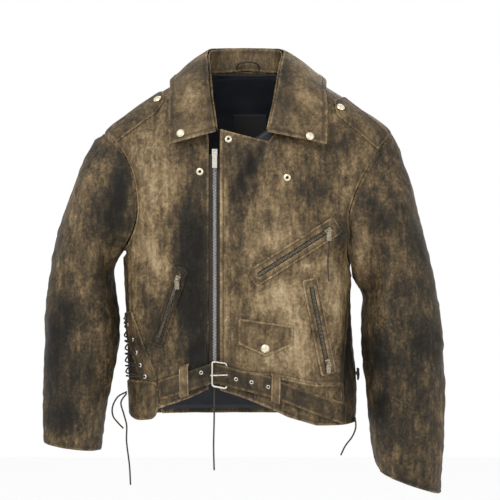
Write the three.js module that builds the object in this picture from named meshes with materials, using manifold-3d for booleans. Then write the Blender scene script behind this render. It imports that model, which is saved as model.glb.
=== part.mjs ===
// Leather riding jacket with an off-centre front zip, laced sides and a waist belt.
// Millimetres. +X is the wearer's left, the front faces -Y, +Z is up.
// The origin is the middle of the neck opening, at the height of the back neck seam.
import * as THREE from "three";
import { mergeVertices } from "three/addons/utils/BufferGeometryUtils.js";
import Module from "manifold-3d";

const wasm = await Module();
wasm.setup();

// ---- Driving dimensions -------------------------------------------------------------

const GAP = 0.3; // clearance between pieces that touch
const SEAM_GAP = 0.6; // width of the groove along a sewn seam
const LEATHER = 3; // thickness of the body leather with its backing
const STRAP = 3; // thickness of belt and strap leather
const TRIM = 2.4; // thickness of a flap, welt or patch
const LINING = 1.6; // thickness of the satin lining
const FACE = 300; // how far cutting prisms reach out from the middle of the jacket

// Horizontal sections of the body, from the neck seam down to the hem:
// height, half width, depth to the front, depth to the back, squareness, sideways shift.
const BODY = [
  { z: 0, half: 88, front: 42, back: 46, square: 2.1, shift: 0 },
  { z: -12, half: 104, front: 52, back: 56, square: 2.2, shift: 0 },
  { z: -60, half: 180, front: 78, back: 76, square: 2.4, shift: 0 },
  { z: -114, half: 252, front: 96, back: 88, square: 2.6, shift: 0 },
  { z: -165, half: 243, front: 106, back: 94, square: 2.8, shift: -2 },
  { z: -240, half: 222, front: 106, back: 98, square: 3, shift: -8 },
  { z: -320, half: 205, front: 106, back: 98, square: 3, shift: -15 },
  { z: -400, half: 198, front: 106, back: 96, square: 3, shift: -18 },
  { z: -470, half: 197, front: 106, back: 94, square: 3, shift: -14 },
  { z: -549, half: 199, front: 106, back: 92, square: 3, shift: -9 },
  { z: -625, half: 196, front: 106, back: 96, square: 3, shift: -9 },
];
const BODY_COLUMNS = 32;
const BODY_LEVELS = [0, -12, -60, -114, -165, -202, -240, -280, -320, -366, -420, -470, -520, -570, -625];

const FRONT_EDGE_RIGHT = -67; // folded edge of the wearer's right front
const FRONT_EDGE_LEFT = -47; // folded edge of the wearer's left front
const ZIP_X = -56; // centre line of the main zip
const ZIP_TOP = -150;
const ZIP_LENGTH = 375;
const SHOULDER_SEAM_Y = -14; // the shoulder seam lies a little to the front
const YOKE_Z = -185;
const WAIST = [[-210, -549], [-155, -545], [-67, -522], [-47, -522], [61, -534], [115, -546], [200, -546]];
const HEM_FRONT = [[-215, -596], [-152, -586], [-98, -567], [-70, -553], [-47, -554], [-3, -568], [36, -584],
  [67, -599], [115, -614], [200, -618]];
const HEM_BACK_Z = -612;

const SIDES = {
  right: {
    sign: -1,
    armhole_front: [[-224, -138], [-205, -167], [-194, -198], [-188, -241], [-193, -275], [-206, -304]],
    armhole_back: [[-232, -140], [-216, -170], [-205, -205], [-200, -245], [-204, -280], [-213, -306]],
    armpit_z: -320,
    shoulder_z: -114,
    seam_front: [[-206, -318], [-203, -428], [-155, -566], [-150, -640]],
    seam_back: [[-212, -318], [-190, -428], [-160, -566], [-155, -640]],
    sleeve: [
      { outer: [-281, -151], inner: [-233, -352], depth: 90, y: -4 },
      { outer: [-313, -232], inner: [-231, -384], depth: 84, y: -6 },
      { outer: [-336, -303], inner: [-228, -418], depth: 78, y: -9 },
      { outer: [-347, -369], inner: [-225, -450], depth: 72, y: -13 },
      { outer: [-353, -435], inner: [-224, -482], depth: 66, y: -17 },
      { outer: [-354, -517], inner: [-234, -539], depth: 61, y: -22 },
      { outer: [-355, -583], inner: [-246, -592], depth: 56, y: -27 },
      { outer: [-354, -650], inner: [-254, -663], depth: 50, y: -32 },
    ],
  },
  left: {
    sign: 1,
    armhole_front: [[222, -150], [197, -191], [177, -240], [169, -285], [170, -322], [178, -350]],
    armhole_back: [[232, -150], [212, -191], [195, -240], [184, -285], [180, -322], [182, -350]],
    armpit_z: -366,
    shoulder_z: -114,
    seam_front: [[180, -364], [172, -450], [163, -540], [163, -640]],
    seam_back: [[180, -364], [168, -450], [158, -540], [155, -640]],
    sleeve: [
      { outer: [279, -187], inner: [200, -398], depth: 92, y: -8 },
      { outer: [304, -279], inner: [197, -432], depth: 86, y: -14 },
      { outer: [325, -368], inner: [197, -468], depth: 79, y: -20 },
      { outer: [337, -454], inner: [200, -509], depth: 72, y: -25 },
      { outer: [341, -549], inner: [206, -574], depth: 66, y: -30 },
      { outer: [339, -626], inner: [213, -636], depth: 60, y: -34 },
      { outer: [335, -686], inner: [220, -684], depth: 55, y: -38 },
      { outer: [333, -736], inner: [228, -702], depth: 50, y: -42 },
    ],
  },
};
const ARMHOLE_STEPS = 8;
const SLEEVE_RINGS = 10;

// Collar: the roll line and the outer edge, from the back of the neck to the front point.
const COLLAR = {
  stand_foot: [[0, 44, 1], [-50, 36, -3], [-84, 8, -5], [-86, -30, -26], [-74, -66, -62]],
  roll: [[0, 52, 40], [-45, 40, 38], [-68, 8, 30], [-66, -34, -2], [-60, -80, -60], [-52, -113, -116]],
  edge: [[0, 104, -34], [-72, 94, -34], [-128, 24, -14], [-130, -54, -48], [-130, -98, -96],
    [-128, -116, -137]],
  leather: 2.8,
  steps: 14,
  wing_start: 0.44, // share of the collar's half length where the free point begins
};
const LEFT_ROLL_SHIFT = -20; // the left roll line ends lower on the chest, nearer the middle

const EPAULETTE = {
  right: [[-167, -48], [-147, -43], [-142, -60], [-157, -84], [-228, -136], [-247, -116]],
  left: [[167, -52], [147, -62], [152, -88], [225, -152], [249, -121]],
};
const SNAP = { radius: 7, height: 4.2, sides: 12, settle: 0.5 };
const STUD_PLACES = {
  right_chest_stud: [-81, -186],
  left_chest_stud: [66, -196],
  lapel_snap_socket: [-33, -131],
};

const COIN_FLAP = [[-15, -434], [76, -447], [75, -478], [30, -497], [-16, -476]];
const COIN_SNAP = [29, -484];

const BELT = {
  tip_strap: [[-150, -539], [-58, -508], [-9, -521], [38, -531], [55, -540], [139, -571], [151, -590],
    [134, -603], [54, -570], [34, -564], [-9, -553], [-58, -541], [-148, -571]],
  buckle_strap: [[-30, -518], [38, -531], [55, -540], [168, -580], [166, -616], [54, -570], [34, -564],
    [-30, -547]],
  buckle_offset: 2.1, // the buckle strap's underside above the body
};
BELT.tip_offset = BELT.buckle_offset + STRAP + GAP;
const BUCKLE = {
  nose_x: -60, nose_z: [-505, -546], heel_x: -36, heel_z: [-509, -551], wire: 1.5, prong: 1.3, prong_z: -528,
};
const BUCKLE_SLOT = { x: [-57, -32.5], half: 2.6 };
const BELT_HOLES = [[-78, -524], [-20, -535], [6, -540], [34, -548]];
const BELT_HOLE_RADIUS = 2.6;
const LOOPS = {
  right_belt_loop: [[-114, -516], [-100, -511], [-99, -563], [-113, -568]],
  left_belt_loop: [[40, -524], [54, -530], [53, -579], [39, -574]],
};
const PASSAGE_HALF = 22.8; // half the room for the belt under a loop
const HEM_TAB = [[-211, -541], [-152, -541], [-151, -583], [-158, -604], [-190, -609], [-209, -600]];
const LACE_PANEL = [[-221, -430], [-199, -422], [-154, -534], [-156, -540], [-181, -540]];
const LACE_HOLES = [[-211, -436], [-205, -446], [-196, -471], [-189, -493], [-182, -514], [-174, -533]];

// Zips: pocket opening's centre, angle of its run from +X, length, and where the slider waits.
const ZIP = { tape: 8, tape_thick: 1.2, rib_half: 1.2, rib_height: 2, end: 10 };
const MAIN_ZIP = { tooth_half: 2.8, back_y: -101, front_y: -107, tape_reach: 24 };
const SLIDER = {
  length: 12, half: 4.2, height: 4.2, ear_x: 2.7, ear: 1.2, ear_y: 2.6, bar: 0.9, bar_height: 2.8,
};
const POCKETS = {
  chest_pocket: { at: [79, -321], angle: 32.3, length: 174, width: 31, slider_end: 1, pull: 17 },
  left_hand_pocket: { at: [120, -448], angle: -78.5, length: 165, width: 28, slider_end: 1, pull: 17 },
  right_hand_pocket: { at: [-133, -414], angle: -109, length: 140, width: 24, slider_end: -1, pull: 17 },
};
const CUFF_ZIP = { at: [-308, -592], angle: -92, length: 120, width: 8, slider_end: 1, pull: 17 };
const PULL = { width: 8, thick: 1.4, eye: 2.4, hole: 1.3, knuckle: 3.6, shoulder: 2.2 };
const CORD = 3; // lacing thong
const LACE = { back_turn: -1.8, drop: 12, lift: 6.5, steps: 50 };

// ---- Solids -------------------------------------------------------------------------

function toSolid(geometry) {
  const bare = geometry.clone();
  bare.deleteAttribute("normal");
  bare.deleteAttribute("uv");
  const merged = mergeVertices(bare, 1e-4);
  const mesh = new wasm.Mesh({
    numProp: 3,
    vertProperties: new Float32Array(merged.attributes.position.array),
    triVerts: new Uint32Array(merged.index.array),
  });
  return new wasm.Manifold(mesh);
}

function toGeometry(solid) {
  const { vertProperties, triVerts } = solid.getMesh();
  const geometry = new THREE.BufferGeometry();
  geometry.setAttribute("position", new THREE.BufferAttribute(new Float32Array(vertProperties), 3));
  geometry.setIndex(new THREE.BufferAttribute(new Uint32Array(triVerts), 1));
  geometry.computeVertexNormals();
  return geometry;
}

function signedVolume(geometry) {
  const p = geometry.attributes.position;
  const index = geometry.index.array;
  const [a, b, c] = [new THREE.Vector3(), new THREE.Vector3(), new THREE.Vector3()];
  let total = 0;
  for (let i = 0; i < index.length; i += 3) {
    a.fromBufferAttribute(p, index[i]);
    b.fromBufferAttribute(p, index[i + 1]);
    c.fromBufferAttribute(p, index[i + 2]);
    total += a.dot(b.cross(c)) / 6;
  }
  return total;
}

// A closed sheet between two grids of points, outer[row][column] and inner[row][column].
// A ring sheet also closes from its last column to its first.
function sheet(outer, inner, ring = false) {
  const rows = outer.length;
  const columns = outer[0].length;
  const points = [...outer.flat(), ...inner.flat()];
  const at = (side, row, column) => side * rows * columns + row * columns + (column % columns);
  const index = [];
  const quad = (a, b, c, d) => index.push(a, b, c, a, c, d);
  const last = ring ? columns : columns - 1;
  for (let row = 0; row < rows - 1; row += 1) {
    for (let column = 0; column < last; column += 1) {
      const next = column + 1;
      quad(at(0, row, column), at(0, row, next), at(0, row + 1, next), at(0, row + 1, column));
      quad(at(1, row, column), at(1, row + 1, column), at(1, row + 1, next), at(1, row, next));
    }
    if (!ring) {
      quad(at(0, row, 0), at(0, row + 1, 0), at(1, row + 1, 0), at(1, row, 0));
      quad(at(0, row, last), at(1, row, last), at(1, row + 1, last), at(0, row + 1, last));
    }
  }
  for (let column = 0; column < last; column += 1) {
    const next = column + 1;
    quad(at(0, 0, column), at(1, 0, column), at(1, 0, next), at(0, 0, next));
    quad(at(0, rows - 1, column), at(0, rows - 1, next), at(1, rows - 1, next), at(1, rows - 1, column));
  }
  const geometry = new THREE.BufferGeometry().setFromPoints(points);
  geometry.setIndex(index);
  if (signedVolume(geometry) < 0) {
    for (let i = 0; i < index.length; i += 3) [index[i], index[i + 1]] = [index[i + 1], index[i]];
    geometry.setIndex(index);
  }
  return geometry;
}

// A prism along Y with an outline in the front view, from y = low to y = high.
function prism(outline, low = -FACE, high = FACE) {
  const shape = new THREE.Shape(outline.map(([x, z]) => new THREE.Vector2(x, z)));
  const geometry = new THREE.ExtrudeGeometry(shape, { depth: high - low, bevelEnabled: false });
  geometry.rotateX(Math.PI / 2);
  geometry.translate(0, high, 0);
  return toSolid(geometry);
}

function box(width, depth, height, x = 0, y = 0, z = 0) {
  return toSolid(new THREE.BoxGeometry(width, depth, height).translate(x, y, z));
}

// A plain tube through hand-set points, for cords and wire.
function tube(points, radius, steps, sides = 8) {
  const path = new THREE.CatmullRomCurve3(points.map((p) => new THREE.Vector3(...p)));
  const section = new THREE.Shape();
  for (let i = 0; i < sides; i += 1) {
    const turn = (2 * Math.PI * i) / sides;
    const [x, y] = [radius * Math.cos(turn), radius * Math.sin(turn)];
    if (i === 0) section.moveTo(x, y);
    else section.lineTo(x, y);
  }
  return new THREE.ExtrudeGeometry(section, { steps, extrudePath: path, bevelEnabled: false });
}

// The largest body of a cut, without the slivers that a cut leaves beside it.
function largest(solid) {
  return solid.decompose().reduce((a, b) => (b.volume() > a.volume() ? b : a));
}

const finishes = {
  leather: { color: 0x6b5a3e, roughness: 0.6, metalness: 0 },
  dark_leather: { color: 0x3a3226, roughness: 0.65, metalness: 0 },
  lining: { color: 0x0b0d16, roughness: 0.5, metalness: 0 },
  nickel: { color: 0xcfc9b4, roughness: 0.3, metalness: 1 },
  lace: { color: 0x2c241a, roughness: 0.8, metalness: 0 },
};
const jacket = new THREE.Group();

function add(name, shape, finish, parent = jacket) {
  const geometry = shape.isBufferGeometry ? shape : toGeometry(largest(shape));
  const mesh = new THREE.Mesh(geometry, new THREE.MeshStandardMaterial(finishes[finish]));
  mesh.name = name;
  parent.add(mesh);
  return mesh;
}

// ---- The body's surface -------------------------------------------------------------

// A smooth value between the body's sections: a cubic through the neighbouring sections.
function sectionValue(key, z) {
  let i = BODY.findIndex((s) => s.z <= z);
  if (i < 0) i = BODY.length - 1;
  i = Math.max(1, i);
  const [a, b] = [BODY[i - 1], BODY[i]];
  const before = BODY[Math.max(0, i - 2)];
  const after = BODY[Math.min(BODY.length - 1, i + 1)];
  const slope = (from, to) => (to.z === from.z ? 0 : (to[key] - from[key]) / (to.z - from.z));
  const span = b.z - a.z;
  const t = Math.min(1, Math.max(0, (z - a.z) / span));
  const [startSlope, endSlope] = [slope(before, b) * span, slope(a, after) * span];
  const [t2, t3] = [t * t, t * t * t];
  return (2 * t3 - 3 * t2 + 1) * a[key] + (t3 - 2 * t2 + t) * startSlope
    + (3 * t2 - 2 * t3) * b[key] + (t3 - t2) * endSlope;
}

// A point on the outside of the body: turn 0 is the front, a quarter turn is the wearer's left.
function bodyPoint(turn, z) {
  const [s, c] = [Math.sin(turn), Math.cos(turn)];
  const p = sectionValue("square", z);
  const reach = (Math.abs(s) ** p + Math.abs(c) ** p) ** (-1 / p);
  const depth = sectionValue(c > 0 ? "front" : "back", z);
  const x = sectionValue("shift", z) + sectionValue("half", z) * reach * s;
  return new THREE.Vector3(x, -depth * reach * c, z);
}

function bodyNormal(turn, z) {
  const across = bodyPoint(turn + 0.02, z).sub(bodyPoint(turn - 0.02, z));
  const down = bodyPoint(turn, Math.max(z - 3, -625)).sub(bodyPoint(turn, Math.min(z + 3, 0)));
  return across.cross(down).normalize().negate();
}

function bodyGrid(offset) {
  return BODY_LEVELS.map((z) => Array.from({ length: BODY_COLUMNS }, (_, i) => {
    const turn = (2 * Math.PI * (i + 0.5)) / BODY_COLUMNS;
    return bodyPoint(turn, z).addScaledVector(bodyNormal(turn, z), offset);
  }));
}

// The layer of the body between two offsets from its outside.
function bodyLayer(low, high) {
  return toSolid(sheet(bodyGrid(high), bodyGrid(low), true));
}

const outside = new THREE.Mesh(sheet(bodyGrid(0), bodyGrid(-1), true));
outside.material.side = THREE.DoubleSide;

// Where a straight line along Y meets the body's front, and the facet's normal there.
function frontPoint([x, z], lift = 0) {
  const ray = new THREE.Raycaster(new THREE.Vector3(x, -FACE, z), new THREE.Vector3(0, 1, 0));
  const hit = ray.intersectObject(outside)[0];
  const normal = hit.face.normal.clone();
  if (normal.y > 0) normal.negate();
  return { point: hit.point.addScaledVector(normal, lift), normal };
}

// ---- Armholes -----------------------------------------------------------------------

function armholeCurve(side, face) {
  const { sign, shoulder_z: top, armpit_z: bottom } = side;
  const topX = sectionValue("half", top) * sign + sectionValue("shift", top);
  const bottomX = sectionValue("half", bottom) * sign + sectionValue("shift", bottom);
  const points = [[topX, top], ...side[face], [bottomX, bottom]].map(([x, z]) => new THREE.Vector2(x, z));
  return new THREE.SplineCurve(points).getPoints(ARMHOLE_STEPS);
}

// Everything outboard of one armhole, moved outboard by a clearance.
function armholeCut(side, clearance) {
  const half = (face, low, high) => {
    const edge = armholeCurve(side, face).map((p) => [p.x - clearance * side.sign, p.y]);
    const [topX, topZ] = edge[0];
    const [bottomX, bottomZ] = edge[edge.length - 1];
    const far = FACE * 2 * side.sign;
    const outline = [[topX, topZ + 2], ...edge, [bottomX, bottomZ - clearance],
      [far, bottomZ - clearance], [far, topZ + 2]];
    return prism(side.sign > 0 ? outline : outline.reverse(), low, high);
  };
  return half("armhole_front", -FACE, 0.1).add(half("armhole_back", 0, FACE));
}

const armholes = armholeCut(SIDES.right, SEAM_GAP).add(armholeCut(SIDES.left, SEAM_GAP));

// ---- Body panels --------------------------------------------------------------------

function belowLine(line, drop, low = -FACE, high = FACE) {
  const [first, last] = [line[0], line[line.length - 1]];
  const edge = line.map(([x, z]) => [x, z - drop]);
  return prism([[-2 * FACE, first[1] - drop], ...edge, [2 * FACE, last[1] - drop], [2 * FACE, -3 * FACE],
    [-2 * FACE, -3 * FACE]], low, high);
}

function sideRegion(side, clearance) {
  const half = (seam, low, high) => {
    const edge = seam.map(([x, z]) => [x + clearance * side.sign, z]);
    const far = FACE * 2 * side.sign;
    const outline = [[edge[0][0], edge[0][1] + 6], ...edge, [far, -640], [far, edge[0][1] + 6]];
    return prism(side.sign > 0 ? outline : outline.reverse(), low, high);
  };
  return half(side.seam_front, -FACE, 0.1).add(half(side.seam_back, 0, FACE));
}

const shell = bodyLayer(-LEATHER, 0);
const trimmed = shell.subtract(armholes)
  .subtract(belowLine(HEM_FRONT, 0, -FACE, 0.1))
  .subtract(belowLine([[-FACE, HEM_BACK_Z], [FACE, HEM_BACK_Z]], 0, 0, FACE));

const sides = sideRegion(SIDES.right, 0).add(sideRegion(SIDES.left, 0));
const sidesWithGap = sideRegion(SIDES.right, -SEAM_GAP).add(sideRegion(SIDES.left, -SEAM_GAP));
const main = trimmed.subtract(sidesWithGap);
const front = main.intersect(box(4 * FACE, FACE, 4 * FACE, 0, SHOULDER_SEAM_Y - FACE / 2, 0));
const back = main.intersect(box(4 * FACE, FACE, 4 * FACE, 0, SHOULDER_SEAM_Y + SEAM_GAP + FACE / 2, 0));

const rightFrontArea = prism([[FRONT_EDGE_RIGHT, -640], [FRONT_EDGE_RIGHT, -128], [-74, -95], [-84, -55],
  [-90, -20], [-92, 5], [-2 * FACE, 5], [-2 * FACE, -640]]);
const leftFrontArea = prism([[FRONT_EDGE_LEFT, -640], [2 * FACE, -640], [2 * FACE, 5], [90, 5], [86, -30],
  [72, -70], [52, -112], [35, -135], [FRONT_EDGE_LEFT, -113]].reverse());

const pocketFrames = {};

// A flat seat for a zip: the plane that clears a surface around the opening. The surface
// comes as a function from a place in the front view, and faces the front (-1) or the back (1).
function zipSeat(surface, facing, { at, angle, length, width }, lift) {
  const run = THREE.MathUtils.degToRad(angle);
  const place = (a, b) => surface([at[0] + (a * Math.cos(run) - b * Math.sin(run)),
    at[1] + (a * Math.sin(run) + b * Math.cos(run))]).point;
  const [a, b] = [length / 2, width / 2];
  const along = place(a, 0).sub(place(-a, 0)).normalize();
  const side = place(0, b).sub(place(0, -b));
  const across = side.addScaledVector(along, -side.dot(along)).normalize();
  const out = along.clone().cross(across).normalize();
  if (out.y * facing < 0) out.negate();
  const centre = place(0, 0);
  let proud = 0;
  for (let i = -4; i <= 4; i += 1) {
    for (let j = -1; j <= 1; j += 1) {
      proud = Math.max(proud, place((i * a) / 4, j * b).sub(centre).dot(out));
    }
  }
  return { along, across: out.clone().cross(along), out, centre: centre.addScaledVector(out, proud + lift) };
}

// Places a shape made in a zip's own axes (X along it, Y across it, Z outwards).
function placed(shape, frame) {
  const matrix = new THREE.Matrix4().makeBasis(frame.along, frame.across, frame.out);
  matrix.setPosition(frame.centre);
  return toSolid(toGeometry(shape).applyMatrix4(matrix));
}

for (const [name, pocket] of Object.entries(POCKETS)) {
  pocketFrames[name] = zipSeat(frontPoint, -1, pocket, GAP);
}

// Slots through the front behind each pocket's zip.
function pocketSlot(name) {
  return placed(box(POCKETS[name].length - 2 * ZIP.end, ZIP.tape + 4 * GAP, 60), pocketFrames[name]);
}

const waistBelow = belowLine(WAIST, SEAM_GAP, -FACE, 0);
const waistAbove = belowLine(WAIST, 0, -FACE, 0);
const rightFront = front.intersect(rightFrontArea);
const leftFront = front.intersect(leftFrontArea);

const rightPanel = rightFront.subtract(waistAbove).subtract(pocketSlot("right_hand_pocket"));
add("right_front_panel", rightPanel, "leather");
add("left_front_panel", leftFront.subtract(waistAbove)
  .subtract(pocketSlot("chest_pocket")).subtract(pocketSlot("left_hand_pocket")), "leather");
add("right_hem_band", rightFront.intersect(waistBelow), "leather");
add("left_hem_band", leftFront.intersect(waistBelow), "leather");

const belowYoke = (drop) => belowLine([[-FACE, YOKE_Z], [FACE, YOKE_Z]], drop);
add("back_yoke", back.subtract(belowYoke(0)), "leather");
add("back_panel", back.intersect(belowYoke(SEAM_GAP)), "leather");
add("right_side_panel", trimmed.intersect(sideRegion(SIDES.right, 0)), "dark_leather");
add("left_side_panel", trimmed.intersect(sideRegion(SIDES.left, 0)), "dark_leather");

// Satin lining, open down the front behind the zip.
const liningLow = -LEATHER - 2 * GAP - LINING - 1.6;
const openFront = [[-84, 20], [88, 20], [80, -70], [-30, -140], [-30, -640], [-84, -640]];
const liningCut = prism(openFront.reverse(), -FACE, 0);
const hemLift = 8;
const lining = bodyLayer(liningLow, liningLow + LINING).subtract(armholes).subtract(liningCut)
  .subtract(belowLine(HEM_FRONT, -hemLift, -FACE, 0.1))
  .subtract(belowLine([[-FACE, HEM_BACK_Z + hemLift], [FACE, HEM_BACK_Z + hemLift]], 0, 0, FACE));
add("body_lining", lining, "lining");

// ---- Sleeves ------------------------------------------------------------------------

function ringPoint(station, turn) {
  const [ox, oz] = station.outer;
  const [ix, iz] = station.inner;
  const c = Math.cos(turn);
  return new THREE.Vector3((ox + ix) / 2 + ((ox - ix) / 2) * c, station.y - station.depth * Math.sin(turn),
    (oz + iz) / 2 + ((oz - iz) / 2) * c);
}

// The armhole's points on the body, from the shoulder down the front and up the back.
function armholeRing(side) {
  const onBody = (p, face) => {
    const half = sectionValue("half", p.y);
    const across = Math.min(1, Math.abs(p.x - sectionValue("shift", p.y)) / half);
    const power = sectionValue("square", p.y);
    const depth = sectionValue(face, p.y) * (1 - across ** power) ** (1 / power);
    return new THREE.Vector3(p.x + side.sign * SEAM_GAP, face === "front" ? -depth : depth, p.y);
  };
  const down = armholeCurve(side, "armhole_front").map((p) => onBody(p, "front"));
  const up = armholeCurve(side, "armhole_back").map((p) => onBody(p, "back")).reverse();
  return [...down, ...up.slice(1, -1)];
}

function sleeveGrid(side) {
  const first = armholeRing(side);
  const around = first.length;
  const paths = first.map((start, i) => {
    const turn = (2 * Math.PI * i) / around;
    return new THREE.CatmullRomCurve3([start, ...side.sleeve.map((station) => ringPoint(station, turn))]);
  });
  return Array.from({ length: SLEEVE_RINGS + 1 }, (_, k) =>
    paths.map((path) => path.getPoint(k / SLEEVE_RINGS)));
}

function inward(grid, thickness) {
  const around = grid[0].length;
  return grid.map((ring, k) => ring.map((p, i) => {
    const along = grid[Math.min(grid.length - 1, k + 1)][i].clone().sub(grid[Math.max(0, k - 1)][i]);
    const across = ring[(i + 1) % around].clone().sub(ring[(i + around - 1) % around]);
    const normal = along.cross(across).normalize();
    const centre = ring.reduce((sum, q) => sum.add(q), new THREE.Vector3()).divideScalar(around);
    if (normal.dot(centre.sub(p)) < 0) normal.negate();
    return p.clone().addScaledVector(normal, thickness);
  }));
}

// The body with a clearance all over, which each sleeve is trimmed to.
const closeRoom = bodyLayer(liningLow - GAP, GAP);
const wholeBodyRoom = closeRoom.add(closeRoom.translate([0, 0, GAP]));
const bodyRoom = wholeBodyRoom
  .subtract(armholeCut(SIDES.right, GAP)).subtract(armholeCut(SIDES.left, GAP));

for (const [name, side] of Object.entries(SIDES)) {
  const outer = sleeveGrid(side);
  const sleeve = toSolid(sheet(outer, inward(outer, LEATHER), true));
  add(`${name}_sleeve`, sleeve.subtract(bodyRoom), "leather");
}

// ---- Collar -------------------------------------------------------------------------

function collarSide(sign) {
  const shifted = (points, shift = 0) => points.map(([x, y, z], i) =>
    new THREE.Vector3(-sign * x + (shift * i) / (points.length - 1), y, z));
  const curve = (points) => new THREE.CatmullRomCurve3(points);
  const rollShift = sign > 0 ? LEFT_ROLL_SHIFT : 0;
  return {
    foot: curve(shifted(COLLAR.stand_foot)),
    roll: curve(shifted(COLLAR.roll, rollShift)),
    edge: curve(shifted(COLLAR.edge)),
  };
}

// A strip between two curves from one share of their length to another, bowed outwards.
function strip(from, to, start, end, steps, across, bow) {
  return Array.from({ length: steps + 1 }, (_, i) => {
    const share = start + ((end - start) * i) / steps;
    const [a, b] = [from.getPoint(share), to.getPoint(share)];
    return Array.from({ length: across + 1 }, (__, j) => {
      const t = j / across;
      return a.clone().lerp(b, t).add(bow(share, t));
    });
  });
}

// The sheet behind a grid of points, a thickness away along the grid's own normals.
function behind(grid, thickness, towards) {
  return grid.map((row, i) => row.map((p, j) => {
    const along = grid[Math.min(grid.length - 1, i + 1)][j].clone().sub(grid[Math.max(0, i - 1)][j]);
    const across = row[Math.min(row.length - 1, j + 1)].clone().sub(row[Math.max(0, j - 1)]);
    const normal = along.cross(across).normalize();
    if (normal.dot(towards(p)) < 0) normal.negate();
    return p.clone().addScaledVector(normal, thickness);
  }));
}

const neckCentre = (p) => new THREE.Vector3(0, -20, -60).sub(p);
const fallBow = (share, t) => {
  const lift = 10 * Math.sin(Math.PI * Math.min(1, t * 1.3)) * (1 - 0.45 * share);
  return new THREE.Vector3(0, lift * (share < 0.35 ? 0.6 : -0.7), lift * 0.5 * (1 - share));
};
const noBow = () => new THREE.Vector3();

function halves(start, end, steps, make) {
  const [left, right] = [collarSide(1), collarSide(-1)];
  const rows = [...make(right, start, end, steps).reverse(), ...make(left, start, end, steps).slice(1)];
  return rows;
}

const standRows = halves(0, 1, COLLAR.steps, (c, start, end, steps) =>
  strip(c.foot, c.roll, start, end, steps, 3, noBow).map((row) => row.map((p) => p.clone())));
const trimmedSheet = (rows) =>
  toSolid(sheet(rows, behind(rows, -COLLAR.leather, neckCentre))).subtract(wholeBodyRoom);
add("collar_stand", trimmedSheet(standRows), "leather");

const fallStrip = (c, start, end, steps) => strip(c.roll, c.edge, start, end, steps, 4, fallBow).map((row) =>
  row.map((p) => p.clone().add(neckCentre(p).normalize().multiplyScalar(-4.8))));
const fallSteps = Math.round(COLLAR.steps * COLLAR.wing_start);
const fallRows = halves(0, COLLAR.wing_start - 0.004, fallSteps, fallStrip);
add("collar_fall", trimmedSheet(fallRows), "leather");
for (const [name, sign] of [["right", -1], ["left", 1]]) {
  const rows = fallStrip(collarSide(sign), COLLAR.wing_start, 1, COLLAR.steps - fallSteps);
  add(`${name}_collar_wing`, trimmedSheet(rows), "leather");
}

// ---- Trims on the body: straps, flap and patches ---------------------------------------

// A piece of the layer that lies between two heights above the body's front.
function onFront(outline, low, high) {
  return bodyLayer(low, high).intersect(prism([...outline].reverse(), -FACE, 0));
}

const trim = (outline) => onFront(outline, GAP, GAP + TRIM);
const holes = (centres, radius) => centres.map(([x, z]) => toSolid(
  new THREE.CylinderGeometry(radius, radius, 2 * FACE, 10).translate(x, 0, z)))
  .map((solid) => solid.intersect(box(4 * FACE, FACE, 4 * FACE, 0, -FACE / 2, 0)))
  .reduce((a, b) => a.add(b));

for (const [name, outline] of Object.entries(EPAULETTE)) {
  const strap = trim(name === "left" ? outline : [...outline].reverse());
  add(`${name}_epaulette`, strap.subtract(armholeCut(SIDES[name], 7 * GAP)), "leather");
}
add("coin_pocket_flap", trim(COIN_FLAP), "leather");
add("right_hem_tab", trim(HEM_TAB), "leather");
add("right_lacing_strip", trim([...LACE_PANEL]).subtract(holes(LACE_HOLES, 3)), "leather");

const tipLow = BELT.tip_offset;
const [slotStart, slotEnd] = BUCKLE_SLOT.x;
const slotMiddle = (slotStart + slotEnd) / 2;
const slot = box(slotEnd - slotStart, FACE, 2 * BUCKLE_SLOT.half, slotMiddle, -FACE / 2, BUCKLE.prong_z);
const tipStrap = onFront(BELT.tip_strap, tipLow, tipLow + STRAP)
  .subtract(slot).subtract(holes(BELT_HOLES, BELT_HOLE_RADIUS));
add("belt_tip_strap", tipStrap, "leather");
const buckleStrap = onFront(BELT.buckle_strap, BELT.buckle_offset, BELT.buckle_offset + STRAP);
add("belt_buckle_strap", buckleStrap, "leather");

// Each loop bridges both straps, with a leg above and below them. The straps pass under it
// through a slanting passage as high as the belt.
const strapTop = tipLow + STRAP + GAP;
for (const [name, outline] of Object.entries(LOOPS)) {
  const [midX, midZ] = outline.reduce(([x, z], p) => [x + p[0] / 4, z + p[1] / 4], [0, 0]);
  const slant = 0.36 * (name.startsWith("right") ? 1 : -1);
  const passage = [[-16, 1], [16, 1], [16, -1], [-16, -1]]
    .map(([x, up]) => [midX + x, midZ + x * slant + up * PASSAGE_HALF]);
  add(name, onFront(outline, GAP, strapTop + TRIM).subtract(onFront(passage, -2, strapTop)), "leather");
}

// A round bar between two points.
function bar(from, to, radius, sides = 10) {
  const [a, b] = [new THREE.Vector3(...from), new THREE.Vector3(...to)];
  const length = a.distanceTo(b);
  const geometry = new THREE.CylinderGeometry(radius, radius, length, sides);
  const run = b.clone().sub(a).normalize();
  geometry.applyQuaternion(new THREE.Quaternion().setFromUnitVectors(new THREE.Vector3(0, 1, 0), run));
  const middle = a.clone().add(b).multiplyScalar(0.5);
  return toSolid(geometry.translate(middle.x, middle.y, middle.z));
}

const ball = ([x, y, z], radius) => toSolid(new THREE.SphereGeometry(radius, 8, 6).translate(x, y, z));

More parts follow.
